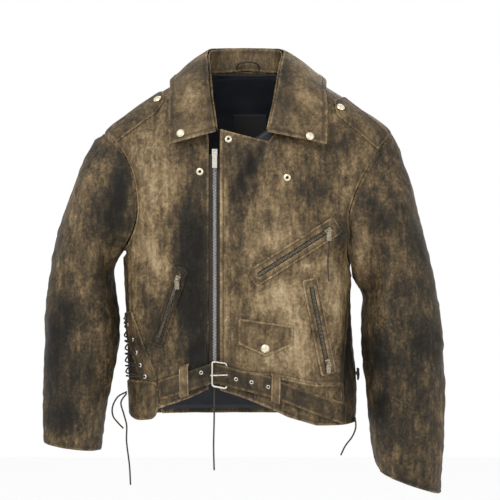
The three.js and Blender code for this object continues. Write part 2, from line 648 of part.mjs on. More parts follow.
const noseY = frontPoint([BUCKLE.nose_x, BUCKLE.prong_z]).point.y - (tipLow + STRAP + GAP + BUCKLE.wire);
const heelY = frontPoint([BUCKLE.heel_x, BUCKLE.prong_z]).point.y - (tipLow - GAP - BUCKLE.wire);
const corners = [
  [BUCKLE.nose_x, noseY, BUCKLE.nose_z[0]], [BUCKLE.heel_x, heelY, BUCKLE.heel_z[0]],
  [BUCKLE.heel_x, heelY, BUCKLE.heel_z[1]], [BUCKLE.nose_x, noseY, BUCKLE.nose_z[1]],
];
const frameBars = corners.map((corner, i) => bar(corner, corners[(i + 1) % 4], BUCKLE.wire)
  .add(ball(corner, BUCKLE.wire * 1.05)));
jacket.userData.buckle = { hinge: new THREE.Vector3(BUCKLE.heel_x, heelY, BUCKLE.prong_z) };
add("buckle_frame", frameBars.reduce((a, b) => a.add(b)), "nickel");
const heelAt = (drop) => [BUCKLE.heel_x, heelY, BUCKLE.prong_z + drop];
const acrossHeel = (half, radius) => bar(heelAt(-half), heelAt(half), radius, 12);
const prongEye = acrossHeel(1.5, BUCKLE.wire * 2);
const prongHole = acrossHeel(4, BUCKLE.wire + 1.5 * GAP);
const prongTip = [BUCKLE.nose_x - 3, noseY - BUCKLE.wire - 2 * BUCKLE.prong - 2 * GAP, BUCKLE.prong_z];
const prongRod = bar([BUCKLE.heel_x - 2.3, heelY - 1, BUCKLE.prong_z], prongTip, BUCKLE.prong);
add("buckle_prong", prongEye.add(prongRod).subtract(prongHole), "nickel");

// ---- Zips ---------------------------------------------------------------------------

const cube = (width, depth, height, x, y, low) => box(width, depth, height, x, y, low + height / 2);

// A slider over a rib of teeth, with two ears and the bar that the pull hangs on.
function addSlider(name, frame, ribHalf, base, ribTop) {
  const top = Math.max(ribTop + 2 * GAP + 1, base + SLIDER.height);
  const half = Math.max(SLIDER.half, ribHalf + GAP + 1.4);
  const body = cube(SLIDER.length, 2 * half, top - base, 0, 0, base)
    .subtract(cube(SLIDER.length * 2, 2 * (ribHalf + GAP), ribTop + GAP - base + 1, 0, 0, base - 1));
  const level = new THREE.Vector3(0, 0, 1).cross(frame.out).normalize();
  const hang = {
    along: level, out: frame.out, across: frame.out.clone().cross(level),
    centre: frame.centre.clone().addScaledVector(frame.out, top + SLIDER.bar_height),
  };
  const ear = (x) => cube(SLIDER.ear, SLIDER.ear_y, SLIDER.bar_height + 1.4, x, 0, -SLIDER.bar_height - 0.4);
  const pin = bar([-SLIDER.ear_x, 0, 0], [SLIDER.ear_x, 0, 0], SLIDER.bar);
  const bail = placed(ear(-SLIDER.ear_x).add(ear(SLIDER.ear_x)).add(pin), hang);
  add(`${name}_slider`, placed(body, frame).add(bail), "nickel");
  return hang;
}

// The pull: a knuckle round the slider's bar and a flat tab hanging down from it.
function addPull(name, hang, length) {
  const knuckle = bar([-PULL.knuckle / 2, 0, 0], [PULL.knuckle / 2, 0, 0], PULL.eye, 12)
    .subtract(bar([-PULL.knuckle, 0, 0], [PULL.knuckle, 0, 0], PULL.hole, 12));
  const neck = box(PULL.knuckle, 1.6, PULL.thick, 0, -PULL.shoulder + 0.1, 0);
  const shoulder = PULL.shoulder + 0.3;
  const tab = box(PULL.width, length - shoulder, PULL.thick, 0, -(length + shoulder) / 2, 0);
  add(`${name}_pull`, placed(knuckle.add(neck).add(tab), hang), "nickel");
}

// A straight zip on its seat: the tape with its rib of teeth, the slider and the pull.
function addZip(name, frame, length, sliderEnd, pull, base) {
  const tape = cube(length, ZIP.tape, ZIP.tape_thick, 0, 0, 0)
    .add(cube(length, 2 * ZIP.rib_half, ZIP.rib_height + 0.2, 0, 0, ZIP.tape_thick - 0.2));
  add(name, placed(tape, frame), "nickel");
  const rest = sliderEnd * (length / 2 - SLIDER.length / 2 - 4);
  const at = { ...frame, centre: frame.centre.clone().addScaledVector(frame.along, rest) };
  const hang = addSlider(name, at, ZIP.rib_half, base, ZIP.tape_thick + ZIP.rib_height);
  addPull(name, hang, pull);
  jacket.userData[name] = { along: frame.along, hinge: hang.centre, axis: hang.along, rest, length };
  return hang;
}

for (const [name, pocket] of Object.entries(POCKETS)) {
  const frame = pocketFrames[name];
  const opening = pocket.length - 2 * ZIP.end;
  const welt = cube(pocket.length, pocket.width, TRIM, 0, 0, 0)
    .subtract(cube(opening, ZIP.tape + 2 * GAP, TRIM * 3, 0, 0, -TRIM));
  add(`${name}_welt`, placed(welt, frame), "leather");
  addZip(`${name}_zip`, frame, opening - 2 * GAP, pocket.slider_end, pocket.pull, TRIM + GAP);
}

// The cuff zip runs up the back of the wearer's right sleeve, with its slider at the cuff.
const rightSleeve = jacket.getObjectByName("right_sleeve");
rightSleeve.material.side = THREE.DoubleSide;
function sleeveBack([x, z]) {
  const ray = new THREE.Raycaster(new THREE.Vector3(x, FACE, z), new THREE.Vector3(0, -1, 0));
  return { point: ray.intersectObject(rightSleeve)[0].point };
}
const cuffSeat = zipSeat(sleeveBack, 1, CUFF_ZIP, GAP);
const cuffBase = ZIP.tape_thick + GAP;
addZip("right_cuff_zip", cuffSeat, CUFF_ZIP.length, CUFF_ZIP.slider_end, CUFF_ZIP.pull, cuffBase);

// The main zip: each half is a tape behind its front's edge with a row of teeth.
for (const [name, sign] of [["right", -1], ["left", 1]]) {
  const reach = [ZIP_X + sign * GAP / 2, ZIP_X + sign * MAIN_ZIP.tape_reach];
  const [low, high] = [Math.min(...reach), Math.max(...reach)];
  const [top, bottom] = [ZIP_TOP - 8, ZIP_TOP - ZIP_LENGTH];
  const area = [[low, top], [low, bottom], [high, bottom], [high, top]].reverse();
  const tape = onFront(area, -LEATHER - GAP - ZIP.tape_thick, -LEATHER - GAP);
  const depth = MAIN_ZIP.back_y - MAIN_ZIP.front_y;
  const rowX = ZIP_X + sign * (MAIN_ZIP.tooth_half + GAP / 2) / 2;
  const rowY = MAIN_ZIP.front_y + depth / 2;
  const teeth = box(MAIN_ZIP.tooth_half - GAP / 2, depth, top - bottom, rowX, rowY, (top + bottom) / 2);
  add(`main_zip_${name}_tape`, tape.add(teeth), "nickel");
}
const mainFrame = {
  along: new THREE.Vector3(0, 0, 1), out: new THREE.Vector3(0, -1, 0), across: new THREE.Vector3(-1, 0, 0),
  centre: new THREE.Vector3(ZIP_X, MAIN_ZIP.back_y, ZIP_TOP - 4),
};
const mainRib = MAIN_ZIP.back_y - MAIN_ZIP.front_y;
const mainHang = addSlider("main_zip", mainFrame, MAIN_ZIP.tooth_half, 2, mainRib);
addPull("main_zip", mainHang, 26);
jacket.userData.main_zip = { hinge: mainHang.centre, axis: mainHang.along };

// ---- Snaps and studs ------------------------------------------------------------------

function surfacePoint(mesh, [x, z], lift) {
  const ray = new THREE.Raycaster(new THREE.Vector3(x, -FACE, z), new THREE.Vector3(0, 1, 0));
  const hit = ray.intersectObject(mesh)[0];
  const normal = hit.face.normal.clone();
  return { point: hit.point.addScaledVector(normal, lift), normal };
}

function snapShape(hollow) {
  const { radius, height, sides } = SNAP;
  const profile = hollow
    ? [[radius * 0.45, 0], [radius, 0], [radius, 1], [radius * 0.8, 2.6], [radius * 0.55, 2.4],
      [radius * 0.45, 1.2]]
    : [[0, 0], [radius, 0], [radius, 0.9], [radius * 0.86, 2.6], [radius * 0.5, height * 0.92], [0, height]];
  const points = profile.map(([r, h]) => new THREE.Vector2(r, h));
  if (hollow) points.push(points[0].clone());
  return new THREE.LatheGeometry(points, sides);
}

function addSnap(name, mesh, at, hollow) {
  const { point, normal } = surfacePoint(mesh, at, GAP + SNAP.settle);
  const turn = new THREE.Quaternion().setFromUnitVectors(new THREE.Vector3(0, 1, 0), normal);
  const geometry = snapShape(hollow).applyQuaternion(turn).translate(point.x, point.y, point.z);
  add(name, toSolid(geometry), "nickel");
}

const node = (name) => jacket.getObjectByName(name);
addSnap("right_collar_snap", node("right_collar_wing"), [-113, -121], false);
addSnap("left_collar_snap", node("left_collar_wing"), [104, -127], false);
addSnap("right_epaulette_snap", node("right_epaulette"), [-155, -60], false);
addSnap("left_epaulette_snap", node("left_epaulette"), [158, -75], false);
addSnap("coin_flap_snap", node("coin_pocket_flap"), COIN_SNAP, false);
for (const [name, at] of Object.entries(STUD_PLACES)) {
  addSnap(name, node(at[0] < FRONT_EDGE_RIGHT ? "right_front_panel" : "left_front_panel"), at, true);
}

// ---- Hang loop, laces and thongs ------------------------------------------------------

const hangLoop = [[-20, 40.5, 3], [-17, 34, 12], [0, 32, 16], [17, 34, 12], [20, 40.5, 3]];
add("hang_loop", tube(hangLoop, CORD / 2, 10), "dark_leather");

// The turn at which the body reaches a place across the front, on the wearer's right.
function turnAt(x, z) {
  let [low, high] = [-Math.PI / 2, 0];
  for (let i = 0; i < 30; i += 1) {
    const middle = (low + high) / 2;
    if (bodyPoint(middle, z).x < x) low = middle;
    else high = middle;
  }
  return (low + high) / 2;
}

// The lace runs from each front eyelet round the side and back to the next one.
const lacePath = [];
LACE_HOLES.forEach(([x, z], i) => {
  const next = LACE_HOLES[i + 1];
  const turns = [turnAt(x, z), LACE.back_turn, next ? turnAt(...next) : LACE.back_turn];
  for (let k = 0; k < (next ? 6 : 3); k += 1) {
    const [from, to] = k < 3 ? [turns[0], turns[1]] : [turns[1], turns[2]];
    const turn = THREE.MathUtils.lerp(from, to, (k % 3) / 3);
    const level = THREE.MathUtils.lerp(z, next ? next[1] : z - LACE.drop, k / 6);
    lacePath.push(bodyPoint(turn, level).addScaledVector(bodyNormal(turn, level), LACE.lift));
  }
});
add("right_lace", tube(lacePath.map((p) => p.toArray()), CORD / 2, LACE.steps), "lace");

const chestHang = jacket.userData.chest_pocket_zip.hinge;
const cords = {
  right_lace_long_end: { steps: 18, points: [[-210.2, -30, -566], [-220, -32, -582], [-215, -34, -602],
    [-210, -35, -622], [-210, -36, -650], [-205, -37, -690], [-203, -38, -724]] },
  right_lace_short_end: { steps: 8, points: [[-210.2, -24, -564], [-226, -26, -573], [-235, -28, -590],
    [-234, -29, -606], [-225, -30, -618], [-216, -31, -627]] },
  left_lace_end: { steps: 8, points: [[184.8, -42, -606], [186, -42, -624], [180, -42, -640],
    [168, -43, -656], [160, -44, -672]] },
  centre_thong: { steps: 14, points: [[-57, -98.9, -517], [-57, -98.5, -560], [-57, -98, -600],
    [-58, -98, -650], [-57, -98, -690]] },
  chest_pull_thong: { steps: 8, points: [0, 14, 36, 52, 68].map((drop, i) =>
    [chestHang.x - [0, 0.5, 1.5, 1, 0][i], chestHang.y + 0.06 * drop, chestHang.z - 17 - 2 * GAP - drop]) },
};
for (const [name, { points, steps }] of Object.entries(cords)) {
  add(name, tube(points, CORD / 2, steps), "lace");
}

export default jacket;
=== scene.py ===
"""A worn leather riding jacket: off-centre front zip, epaulettes, slanted pockets, laced sides and a belt.

Metres. +X is the wearer's left, the front faces -Y and +Z is up. The origin is the middle of the neck
opening, level with the back neck seam. Shapes are worked out in millimetres and scaled on the meshes.
"""

import math

import bpy
import numpy as np
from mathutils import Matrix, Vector, geometry
from mathutils.kdtree import KDTree


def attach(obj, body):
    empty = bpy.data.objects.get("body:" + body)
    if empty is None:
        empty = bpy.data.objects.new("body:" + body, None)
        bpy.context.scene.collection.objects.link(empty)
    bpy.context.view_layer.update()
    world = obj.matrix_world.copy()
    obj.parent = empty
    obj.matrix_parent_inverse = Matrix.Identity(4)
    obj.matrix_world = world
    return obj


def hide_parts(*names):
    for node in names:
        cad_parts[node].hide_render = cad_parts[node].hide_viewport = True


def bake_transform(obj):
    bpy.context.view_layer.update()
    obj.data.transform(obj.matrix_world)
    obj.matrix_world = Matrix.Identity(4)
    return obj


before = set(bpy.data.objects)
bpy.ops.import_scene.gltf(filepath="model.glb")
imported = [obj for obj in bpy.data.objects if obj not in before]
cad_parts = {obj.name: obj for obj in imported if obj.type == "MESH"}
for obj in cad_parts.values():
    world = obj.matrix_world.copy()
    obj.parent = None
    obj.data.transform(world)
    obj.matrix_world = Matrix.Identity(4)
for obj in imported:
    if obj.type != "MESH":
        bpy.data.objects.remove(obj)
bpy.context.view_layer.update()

# ---- Camera -------------------------------------------------------------------------------
# A long lens square to the front of the hanging jacket and level with its middle, so that the
# sleeves and the hem show without much perspective.
camera = bpy.data.objects.new("camera", bpy.data.cameras.new("camera"))
camera.data.lens = 109.2
camera.data.clip_end = 30
camera.location = (0.0035, -2.66, -0.318)
camera.rotation_euler = (math.pi / 2, 0, 0)
bpy.context.collection.objects.link(camera)
bpy.context.scene.camera = camera


# ---- Lace ends and thongs -----------------------------------------------------------------
# Limp strips of rawhide, rolled until they are round, about 3 mm across. They hang from the side
# lacing, the bottom of the main zip and two zip pulls, and end bare.
CORDS = {
    "right_lace_long_end": ("torso", 0.168, [(-210.2, -30, -566), (-220, -32, -582), (-215, -34, -602),
                            (-210, -35, -622), (-210, -36, -650), (-205, -37, -690), (-203, -38, -724)]),
    "right_lace_short_end": ("torso", 0.076, [(-210.2, -24, -564), (-226, -26, -573), (-235, -28, -590),
                             (-234, -29, -606), (-225, -30, -618), (-216, -31, -627)]),
    "left_lace_end": ("torso", 0.078, [(184.8, -42, -606), (186, -42, -624), (180, -42, -640),
                      (168, -43, -656), (160, -44, -672)]),
    "centre_thong": ("torso", 0.173, [(-57, -98.9, -517), (-57, -98.5, -560), (-57, -98, -600),
                     (-58, -98, -650), (-57, -98, -690)]),
    "chest_pull_thong": ("chest_pocket_zip_pull", 0.068, [(136.4, -105.3, -303), (135.9, -104.4, -317),
                         (134.9, -103, -339), (135.4, -102, -355), (136.4, -101, -371)]),
}


def spline_points(points, count):
    """A smooth line through the points, as an array of evenly shared positions."""
    p = np.asarray(points, float)
    p = np.vstack([2 * p[0] - p[1], p, 2 * p[-1] - p[-2]])
    t = np.linspace(0, len(p) - 3 - 1e-9, count)
    i = t.astype(int)
    f = (t - i)[:, None]
    a, b, c, d = p[i], p[i + 1], p[i + 2], p[i + 3]
    return 0.5 * (2 * b + (c - a) * f + (2 * a - 5 * b + 4 * c - d) * f**2 + (3 * b - a - 3 * c + d) * f**3)


def link(name, data):
    obj = bpy.data.objects.new(name, data)
    bpy.context.collection.objects.link(obj)
    return obj


def strand(name, points, radius):
    """A curve with a round section through points given in millimetres."""
    curve = bpy.data.curves.new(name, "CURVE")
    curve.dimensions = "3D"
    curve.bevel_depth = 1.0
    curve.bevel_resolution = 2
    curve.use_fill_caps = True
    line = spline_points(points, 12 * (len(points) - 1)) / 1000
    spline = curve.splines.new("POLY")
    spline.points.add(len(line) - 1)
    for point, place in zip(spline.points, line):
        point.co = (*place, 1)
        point.radius = radius
    return link(name, curve)


laces = []
for cord_name, (cord_body, cord_length, cord_points) in CORDS.items():
    cord_piece = strand(cord_name + "_hide", cord_points, 0.0014)
    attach(cord_piece, cord_body)
    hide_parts(cord_name)
    laces.append(cord_piece)

POCKET_THONGS = {
    "right_pocket_thong_front": (0.072, [(-131, -112, -402), (-134, -111, -415), (-142, -109, -435),
                                 (-149, -108, -455), (-156, -107, -468)]),
    "right_pocket_thong_back": (0.070, [(-131, -113.5, -402), (-131, -113, -416), (-134, -111, -438),
                                (-139, -110, -458), (-143, -109, -471)]),
}
for cord_name, (cord_length, cord_points) in POCKET_THONGS.items():
    cord_piece = strand(cord_name, cord_points, 0.0012)
    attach(cord_piece, "right_hand_pocket_zip_pull")
    laces.append(cord_piece)


# ---- Worn leather -------------------------------------------------------------------------
# Cowhide with a waxed, rubbed-off finish: near-black where the dye is still thick, tan where it
# has worn through, with painted shade darkening its creases, hollows and stitch grooves. The groups
# read each piece's own "rest" place, "shade" paint and "edge" distance.
def new_group(name, inputs, outputs):
    group = bpy.data.node_groups.new(name, "ShaderNodeTree")
    for socket, kind, value in inputs:
        made = group.interface.new_socket(name=socket, in_out="INPUT", socket_type=kind)
        if value is not None:
            made.default_value = value
    for socket, kind in outputs:
        group.interface.new_socket(name=socket, in_out="OUTPUT", socket_type=kind)
    return group, group.nodes.new("NodeGroupInput"), group.nodes.new("NodeGroupOutput")


def plug(tree, kind, links=(), **settings):
    """A new node with its properties set and its inputs linked or given values, by name or number."""
    node = tree.nodes.new(kind)
    for key, value in settings.items():
        setattr(node, key, value)
    for key, value in dict(links).items():
        if hasattr(value, "is_linked"):
            tree.links.new(value, node.inputs[key])
        else:
            node.inputs[key].default_value = value
    return node


def math_node(tree, operation, a, b=0.0):
    return plug(tree, "ShaderNodeMath", {0: a, 1: b}, operation=operation).outputs[0]


def ramp(tree, value, stops):
    node = plug(tree, "ShaderNodeValToRGB", {"Fac": value})
    elements = node.color_ramp.elements
    while len(elements) < len(stops):
        elements.new(0.5)
    for element, (place, colour) in zip(elements, stops):
        element.position = place
        element.color = (*colour, 1) if len(colour) == 3 else colour
    return node.outputs["Color"]


def noise(tree, place, scale, detail=6.0, roughness=0.6, distortion=0.0):
    links = {"Vector": place, "Scale": scale, "Detail": detail, "Roughness": roughness,
             "Distortion": distortion}
    return plug(tree, "ShaderNodeTexNoise", links).outputs["Fac"]


def stretched(tree, place, scale, turn=(0, 0, 0)):
    return plug(tree, "ShaderNodeMapping", {"Vector": place, "Scale": scale, "Rotation": turn}).outputs[0]


worn, worn_in, worn_out = new_group(
    "worn finish",
    [("Place", "NodeSocketVector", None), ("Shade", "NodeSocketFloat", 0.0),
     ("Edge", "NodeSocketFloat", 1.0),
     ("Tone", "NodeSocketFloat", 0.5), ("Contrast", "NodeSocketFloat", 1.0)],
    [("Color", "NodeSocketColor"), ("Roughness", "NodeSocketFloat")])
place = worn_in.outputs["Place"]
clouds = noise(worn, stretched(worn, place, (1, 1, 0.7)), 13, 5, 0.55, 0.5)
blotches = noise(worn, stretched(worn, place, (1, 1, 0.75), (0, 0.3, 0)), 46, 8, 0.68, 0.6)
specks = noise(worn, place, 210, 6, 0.7)
wipes = noise(worn, stretched(worn, place, (1, 1, 0.22), (0, 0.35, 0)), 120, 4, 0.6)
total = math_node(worn, "MULTIPLY", math_node(worn, "SUBTRACT", clouds, 0.5), 0.55)
for layer, weight in ((blotches, 0.85), (specks, 0.7), (wipes, 0.6)):
    part = math_node(worn, "MULTIPLY", math_node(worn, "SUBTRACT", layer, 0.5), weight)
    total = math_node(worn, "ADD", total, part)
total = math_node(worn, "MULTIPLY", total, worn_in.outputs["Contrast"])
# The piece's "shade" paint, which holds rubbed patches together with painted shade, moves the tone here.
total = math_node(worn, "ADD", total, math_node(worn, "MULTIPLY", worn_in.outputs["Shade"], 0.27))
total = math_node(worn, "ADD", total, worn_in.outputs["Tone"])
near = plug(worn, "ShaderNodeMapRange",
            {"Value": worn_in.outputs["Edge"], 1: 0.0, 2: 0.0035, 3: 0.2, 4: 0.0})
# The pale band right at a cut edge is rubbed; the darker band from 4 to 11 mm in is painted shade in the
# stitch groove.
groove_shade = plug(worn, "ShaderNodeMapRange",
              {"Value": worn_in.outputs["Edge"], 1: 0.004, 2: 0.011, 3: -0.10, 4: 0.0})
on_edge = math_node(worn, "GREATER_THAN", worn_in.outputs["Edge"], 0.004)
seam = math_node(worn, "ADD", near.outputs[0], math_node(worn, "MULTIPLY", groove_shade.outputs[0], on_edge))
veins = plug(worn, "ShaderNodeTexVoronoi", {
    "Vector": stretched(worn, place, (1, 1, 0.5), (0, 0.4, 0)), "Scale": 88}, feature="DISTANCE_TO_EDGE")
vein = plug(worn, "ShaderNodeMapRange",
            {"Value": veins.outputs["Distance"], 1: 0.0, 2: 0.07, 3: -0.09, 4: 0.0})
total = math_node(worn, "ADD", total, math_node(worn, "MULTIPLY", vein.outputs[0], blotches))
rub = plug(worn, "ShaderNodeMapRange", {"Value": specks, 1: 0.35, 2: 0.6, 3: 0.2, 4: 1.0})
total = math_node(worn, "ADD", total, math_node(worn, "MULTIPLY", seam, rub.outputs[0]))
colour = ramp(worn, total, [
    (0.0, (0.0078, 0.0064, 0.0044)), (0.2, (0.019, 0.015, 0.0095)), (0.36, (0.043, 0.0315, 0.0175)),
    (0.5, (0.092, 0.063, 0.032)), (0.66, (0.18, 0.125, 0.064)), (0.84, (0.315, 0.23, 0.13)),
    (1.0, (0.43, 0.34, 0.21))])
worn.links.new(colour, worn_out.inputs["Color"])
gloss = plug(worn, "ShaderNodeMapRange", {"Value": blotches, 1: 0.3, 2: 0.7, 3: 0.46, 4: 0.66})
worn.links.new(gloss.outputs[0], worn_out.inputs["Roughness"])

grain, grain_in, grain_out = new_group(
    "hide grain", [("Place", "NodeSocketVector", None), ("Creases", "NodeSocketFloat", 1.0)],
    [("Height", "NodeSocketFloat")])
place = grain_in.outputs["Place"]
pebbles = plug(grain, "ShaderNodeTexVoronoi", {"Vector": place, "Scale": 620, "Randomness": 1.0},
               feature="DISTANCE_TO_EDGE")
pebble = plug(grain, "ShaderNodeMapRange",
              {"Value": pebbles.outputs["Distance"], 1: 0.0, 2: 0.22, 3: 0.0, 4: 0.4})
wrinkle = plug(grain, "ShaderNodeTexVoronoi", {
    "Vector": stretched(grain, place, (1, 1, 0.45), (0, 0.4, 0)), "Scale": 105}, feature="DISTANCE_TO_EDGE")
crack = plug(grain, "ShaderNodeMapRange",
             {"Value": wrinkle.outputs["Distance"], 1: 0.0, 2: 0.09, 3: 0.0, 4: 0.7})
crack = math_node(grain, "MULTIPLY", crack.outputs[0], grain_in.outputs["Creases"])
soft = math_node(grain, "MULTIPLY", noise(grain, place, 70, 8, 0.65), 1.6)
height = math_node(grain, "ADD", math_node(grain, "ADD", pebble.outputs[0], crack), soft)
grain.links.new(height, grain_out.inputs["Height"])


def material(name, **principled):
    made = bpy.data.materials.new(name)
    made.use_nodes = True
    shader = made.node_tree.nodes["Principled BSDF"]
    for key, value in principled.items():
        shader.inputs[key.replace("_", " ").title().replace("Ior", "IOR")].default_value = value
    return made, made.node_tree, shader


def attribute(tree, name, output="Fac"):
    return plug(tree, "ShaderNodeAttribute", attribute_name=name).outputs[output]


def leather(name, tone, contrast=1.0, creases=1.0, depth=0.0006):
    """One panel's leather: a tone of 0.5 is the jacket's usual brown."""
    made, tree, shader = material(name, specular_ior_level=0.17)
    rest = attribute(tree, "rest", "Vector")
    finish = plug(tree, "ShaderNodeGroup", {
        "Place": rest, "Shade": attribute(tree, "shade"), "Edge": attribute(tree, "edge"), "Tone": tone,
        "Contrast": contrast}, node_tree=worn)
    tree.links.new(finish.outputs["Color"], shader.inputs["Base Color"])
    tree.links.new(finish.outputs["Roughness"], shader.inputs["Roughness"])
    hide = plug(tree, "ShaderNodeGroup", {"Place": rest, "Creases": creases}, node_tree=grain)
    bump = plug(tree, "ShaderNodeBump",
                {"Height": hide.outputs["Height"], "Strength": 0.55, "Distance": depth})
    tree.links.new(bump.outputs["Normal"], shader.inputs["Normal"])
    return made


# ---- The body's form ----------------------------------------------------------------------
# The hanging body is one smooth surface through horizontal sections, from the neck to the hem:
# height, half width, depth to the front, depth to the back, squareness, sideways shift. Folds
# are ridges (+) and hollows (-) along lines in the front or back view: ends, width, height.
SECTIONS = np.array([
    (0, 88, 42, 46, 2.1, 0), (-12, 104, 52, 56, 2.2, 0), (-60, 180, 78, 76, 2.4, 0),
    (-114, 252, 96, 88, 2.6, 0), (-165, 243, 106, 94, 2.8, -2), (-240, 222, 106, 98, 3, -8),
    (-320, 205, 106, 98, 3, -15), (-400, 198, 106, 96, 3, -18), (-470, 197, 106, 94, 3, -14),
    (-549, 199, 106, 92, 3, -9), (-625, 196, 106, 96, 3, -9)], float)
FRONT_FOLDS = [
    (-104, -225, -84, -490, 17, -5), (-128, -215, -108, -500, 14, 3.4), (-150, -330, -134, -520, 10, -2.6),
    (28, -141, -26, -228, 8, -4.6), (44, -146, -6, -236, 13, 3.2), (172, -170, 150, -280, 12, -2.6),
    (150, -165, 126, -290, 12, 2.4), (-172, -180, -160, -310, 15, 2.6), (-60, -470, -110, -505, 12, -3),
    (150, -330, 156, -520, 12, 2.6), (172, -400, 168, -560, 9, -2.4), (20, -370, 60, -430, 18, 2.2),
    (-20, -300, -30, -440, 12, -1.6), (70, -500, 96, -440, 10, -1.4), (-10, -575, 60, -600, 10, 1.2),
    (-178, -330, -172, -430, 9, -2.6)]
BACK_FOLDS = [
    (-120, -230, -60, -420, 22, -4), (110, -240, 70, -430, 24, -4), (0, -250, 0, -560, 40, 3),
    (-90, -420, -100, -600, 16, 3), (80, -430, 100, -600, 16, 3), (-40, -460, -44, -610, 13, -3),
    (36, -450, 44, -610, 13, -3), (-160, -220, -150, -420, 16, 3), (150, -230, 145, -430, 16, 3)]


def section(column, z):
    """One column of the sections at heights z, along a smooth cubic."""
    levels = SECTIONS[:, 0]
    i = np.clip(np.searchsorted(-levels, -z, side="left"), 1, len(levels) - 1)
    before, after = np.maximum(i - 2, 0), np.minimum(i + 1, len(levels) - 1)
    value = SECTIONS[:, column]
    span = levels[i] - levels[i - 1]
    t = np.clip((z - levels[i - 1]) / span, 0, 1)
    start = (value[i] - value[before]) / (levels[i] - levels[before]) * span
    end = (value[after] - value[i - 1]) / (levels[after] - levels[i - 1]) * span
    return ((2 * t**3 - 3 * t**2 + 1) * value[i - 1] + (t**3 - 2 * t**2 + t) * start
            + (3 * t**2 - 2 * t**3) * value[i] + (t**3 - t**2) * end)


def body_smooth(turn, z):
    """Places on the body in millimetres: turn 0 is the front, a quarter turn the wearer's left."""
    s, c = np.sin(turn), np.cos(turn)
    power = section(4, z)
    reach = (np.abs(s) ** power + np.abs(c) ** power) ** (-1 / power)
    depth = np.where(c > 0, section(2, z), section(3, z))
    return np.stack([section(5, z) + section(1, z) * reach * s, -depth * reach * c, z + 0 * s], -1)


def body_normal(turn, z):
    across = body_smooth(turn + 0.02, z) - body_smooth(turn - 0.02, z)
    down = body_smooth(turn, np.maximum(z - 3, -625)) - body_smooth(turn, np.minimum(z + 3, 0))
    normal = -np.cross(across, down)
    return normal / np.linalg.norm(normal, axis=-1, keepdims=True)


def along_lines(x, z, lines):
    total = np.zeros_like(x)
    for x0, z0, x1, z1, width, height in lines:
        t = np.clip(((x - x0) * (x1 - x0) + (z - z0) * (z1 - z0)) / ((x1 - x0) ** 2 + (z1 - z0) ** 2), 0, 1)
        distance = np.hypot(x - x0 - t * (x1 - x0), z - z0 - t * (z1 - z0))
        total += height * np.exp(-((distance / width) ** 2)) * np.sin(np.pi * np.clip(t, 0.12, 0.88)) ** 0.5
    return total


def ripple(p, size, seed):
    """Smooth unevenness from -1 to 1 with humps about this many millimetres apart."""
    random = np.random.default_rng(seed)
    waves = random.normal(size=(14, 3))
    waves *= (2 * np.pi / size) / np.linalg.norm(waves, axis=1, keepdims=True) * random.uniform(0.6, 1.5,
        (14, 1))
    return np.sin(p @ waves.T + random.uniform(0, 2 * np.pi, 14)).sum(-1) / 5


# The flat seat of each zipped pocket: middle, along the zip, across it, outwards, half sizes.
SEATS = {
    "chest_pocket": ((79.18, -103.44, -320.98), (0.8396, 0.1159, 0.5308), (-0.5277, -0.0578, 0.8474),
                     (0.1289, -0.9916, 0.0126), 87, 15.5),
    "left_hand_pocket": ((120.55, -94.15, -447.97), (0.1991, 0.0493, -0.9787), (0.9236, 0.3244, 0.2043),
                         (0.3276, -0.9446, 0.019), 82.5, 14),
    "right_hand_pocket": ((-133.08, -97.83, -414.0), (-0.3244, 0.0844, -0.9421), (0.9161, -0.2201, -0.3352),
                          (-0.2356, -0.9718, -0.0059), 70, 12),
    "right_cuff": ((-308.08, 27.07, -592.05), (-0.0345, -0.1505, -0.988), (-0.9774, -0.2014, 0.0648),
                   (-0.2088, 0.9679, -0.1402), 60, 6),
}


def settle(p, normal, lift, seat, reach):
    """Blends a lift so that the leather lies flat on a pocket's seat and eases off round it."""
    centre, along, across, out, half_length, half_width = (np.array(v, float) for v in seat)
    local = p - centre
    beyond = np.hypot(np.maximum(0, np.abs(local @ along) - half_length),
                      np.maximum(0, np.abs(local @ across) - half_width))
    facing = np.clip(normal @ out, 0.25, 1)
    share = np.exp(-((beyond / reach) ** 2)) * (normal @ out > 0.2)
    return lift * (1 - share) + share * (-(local @ out) - 0.5) / facing


def folds(p, normal=None):
    """How far the leather stands off its smooth form, in millimetres."""
    front = np.clip(-p[..., 1] / 60, 0, 1)
    back = np.clip(p[..., 1] / 60, 0, 1)
    low = np.clip((-p[..., 2] - 60) / 120, 0.15, 1)
    lift = front * along_lines(p[..., 0], p[..., 2], FRONT_FOLDS)
    lift += back * along_lines(p[..., 0], p[..., 2], BACK_FOLDS)
    lift += low * (1.3 * ripple(p * (1, 1, 0.45), 75, 3) + 0.5 * ripple(p, 26, 4))
    if normal is not None:
        for name, reach in (("chest_pocket", 15), ("left_hand_pocket", 12), ("right_hand_pocket", 12)):
            lift = settle(p, normal, lift, SEATS[name], reach)
    return lift - 0.6


def body(turn, z, lift=0.0):
    """Places on the folded body, raised by lift millimetres."""
    base = body_smooth(turn, z)
    normal = body_normal(turn, z)
    return base + normal * (folds(base, normal) + lift)[..., None]


def turn_at(x, z, back=False):
    """The turn at which the body reaches x at height z, on the front or the back."""
    x, z = np.broadcast_arrays(np.asarray(x, float), np.asarray(z, float))
    low = np.full(x.shape, np.pi / 2 if back else -np.pi / 2)
    high = low + np.pi
    sign = -1 if back else 1
    for _ in range(34):
        middle = (low + high) / 2
        less = sign * (body_smooth(middle, z)[..., 0] - x) < 0
        low, high = np.where(less, middle, low), np.where(less, high, middle)
    return (low + high) / 2
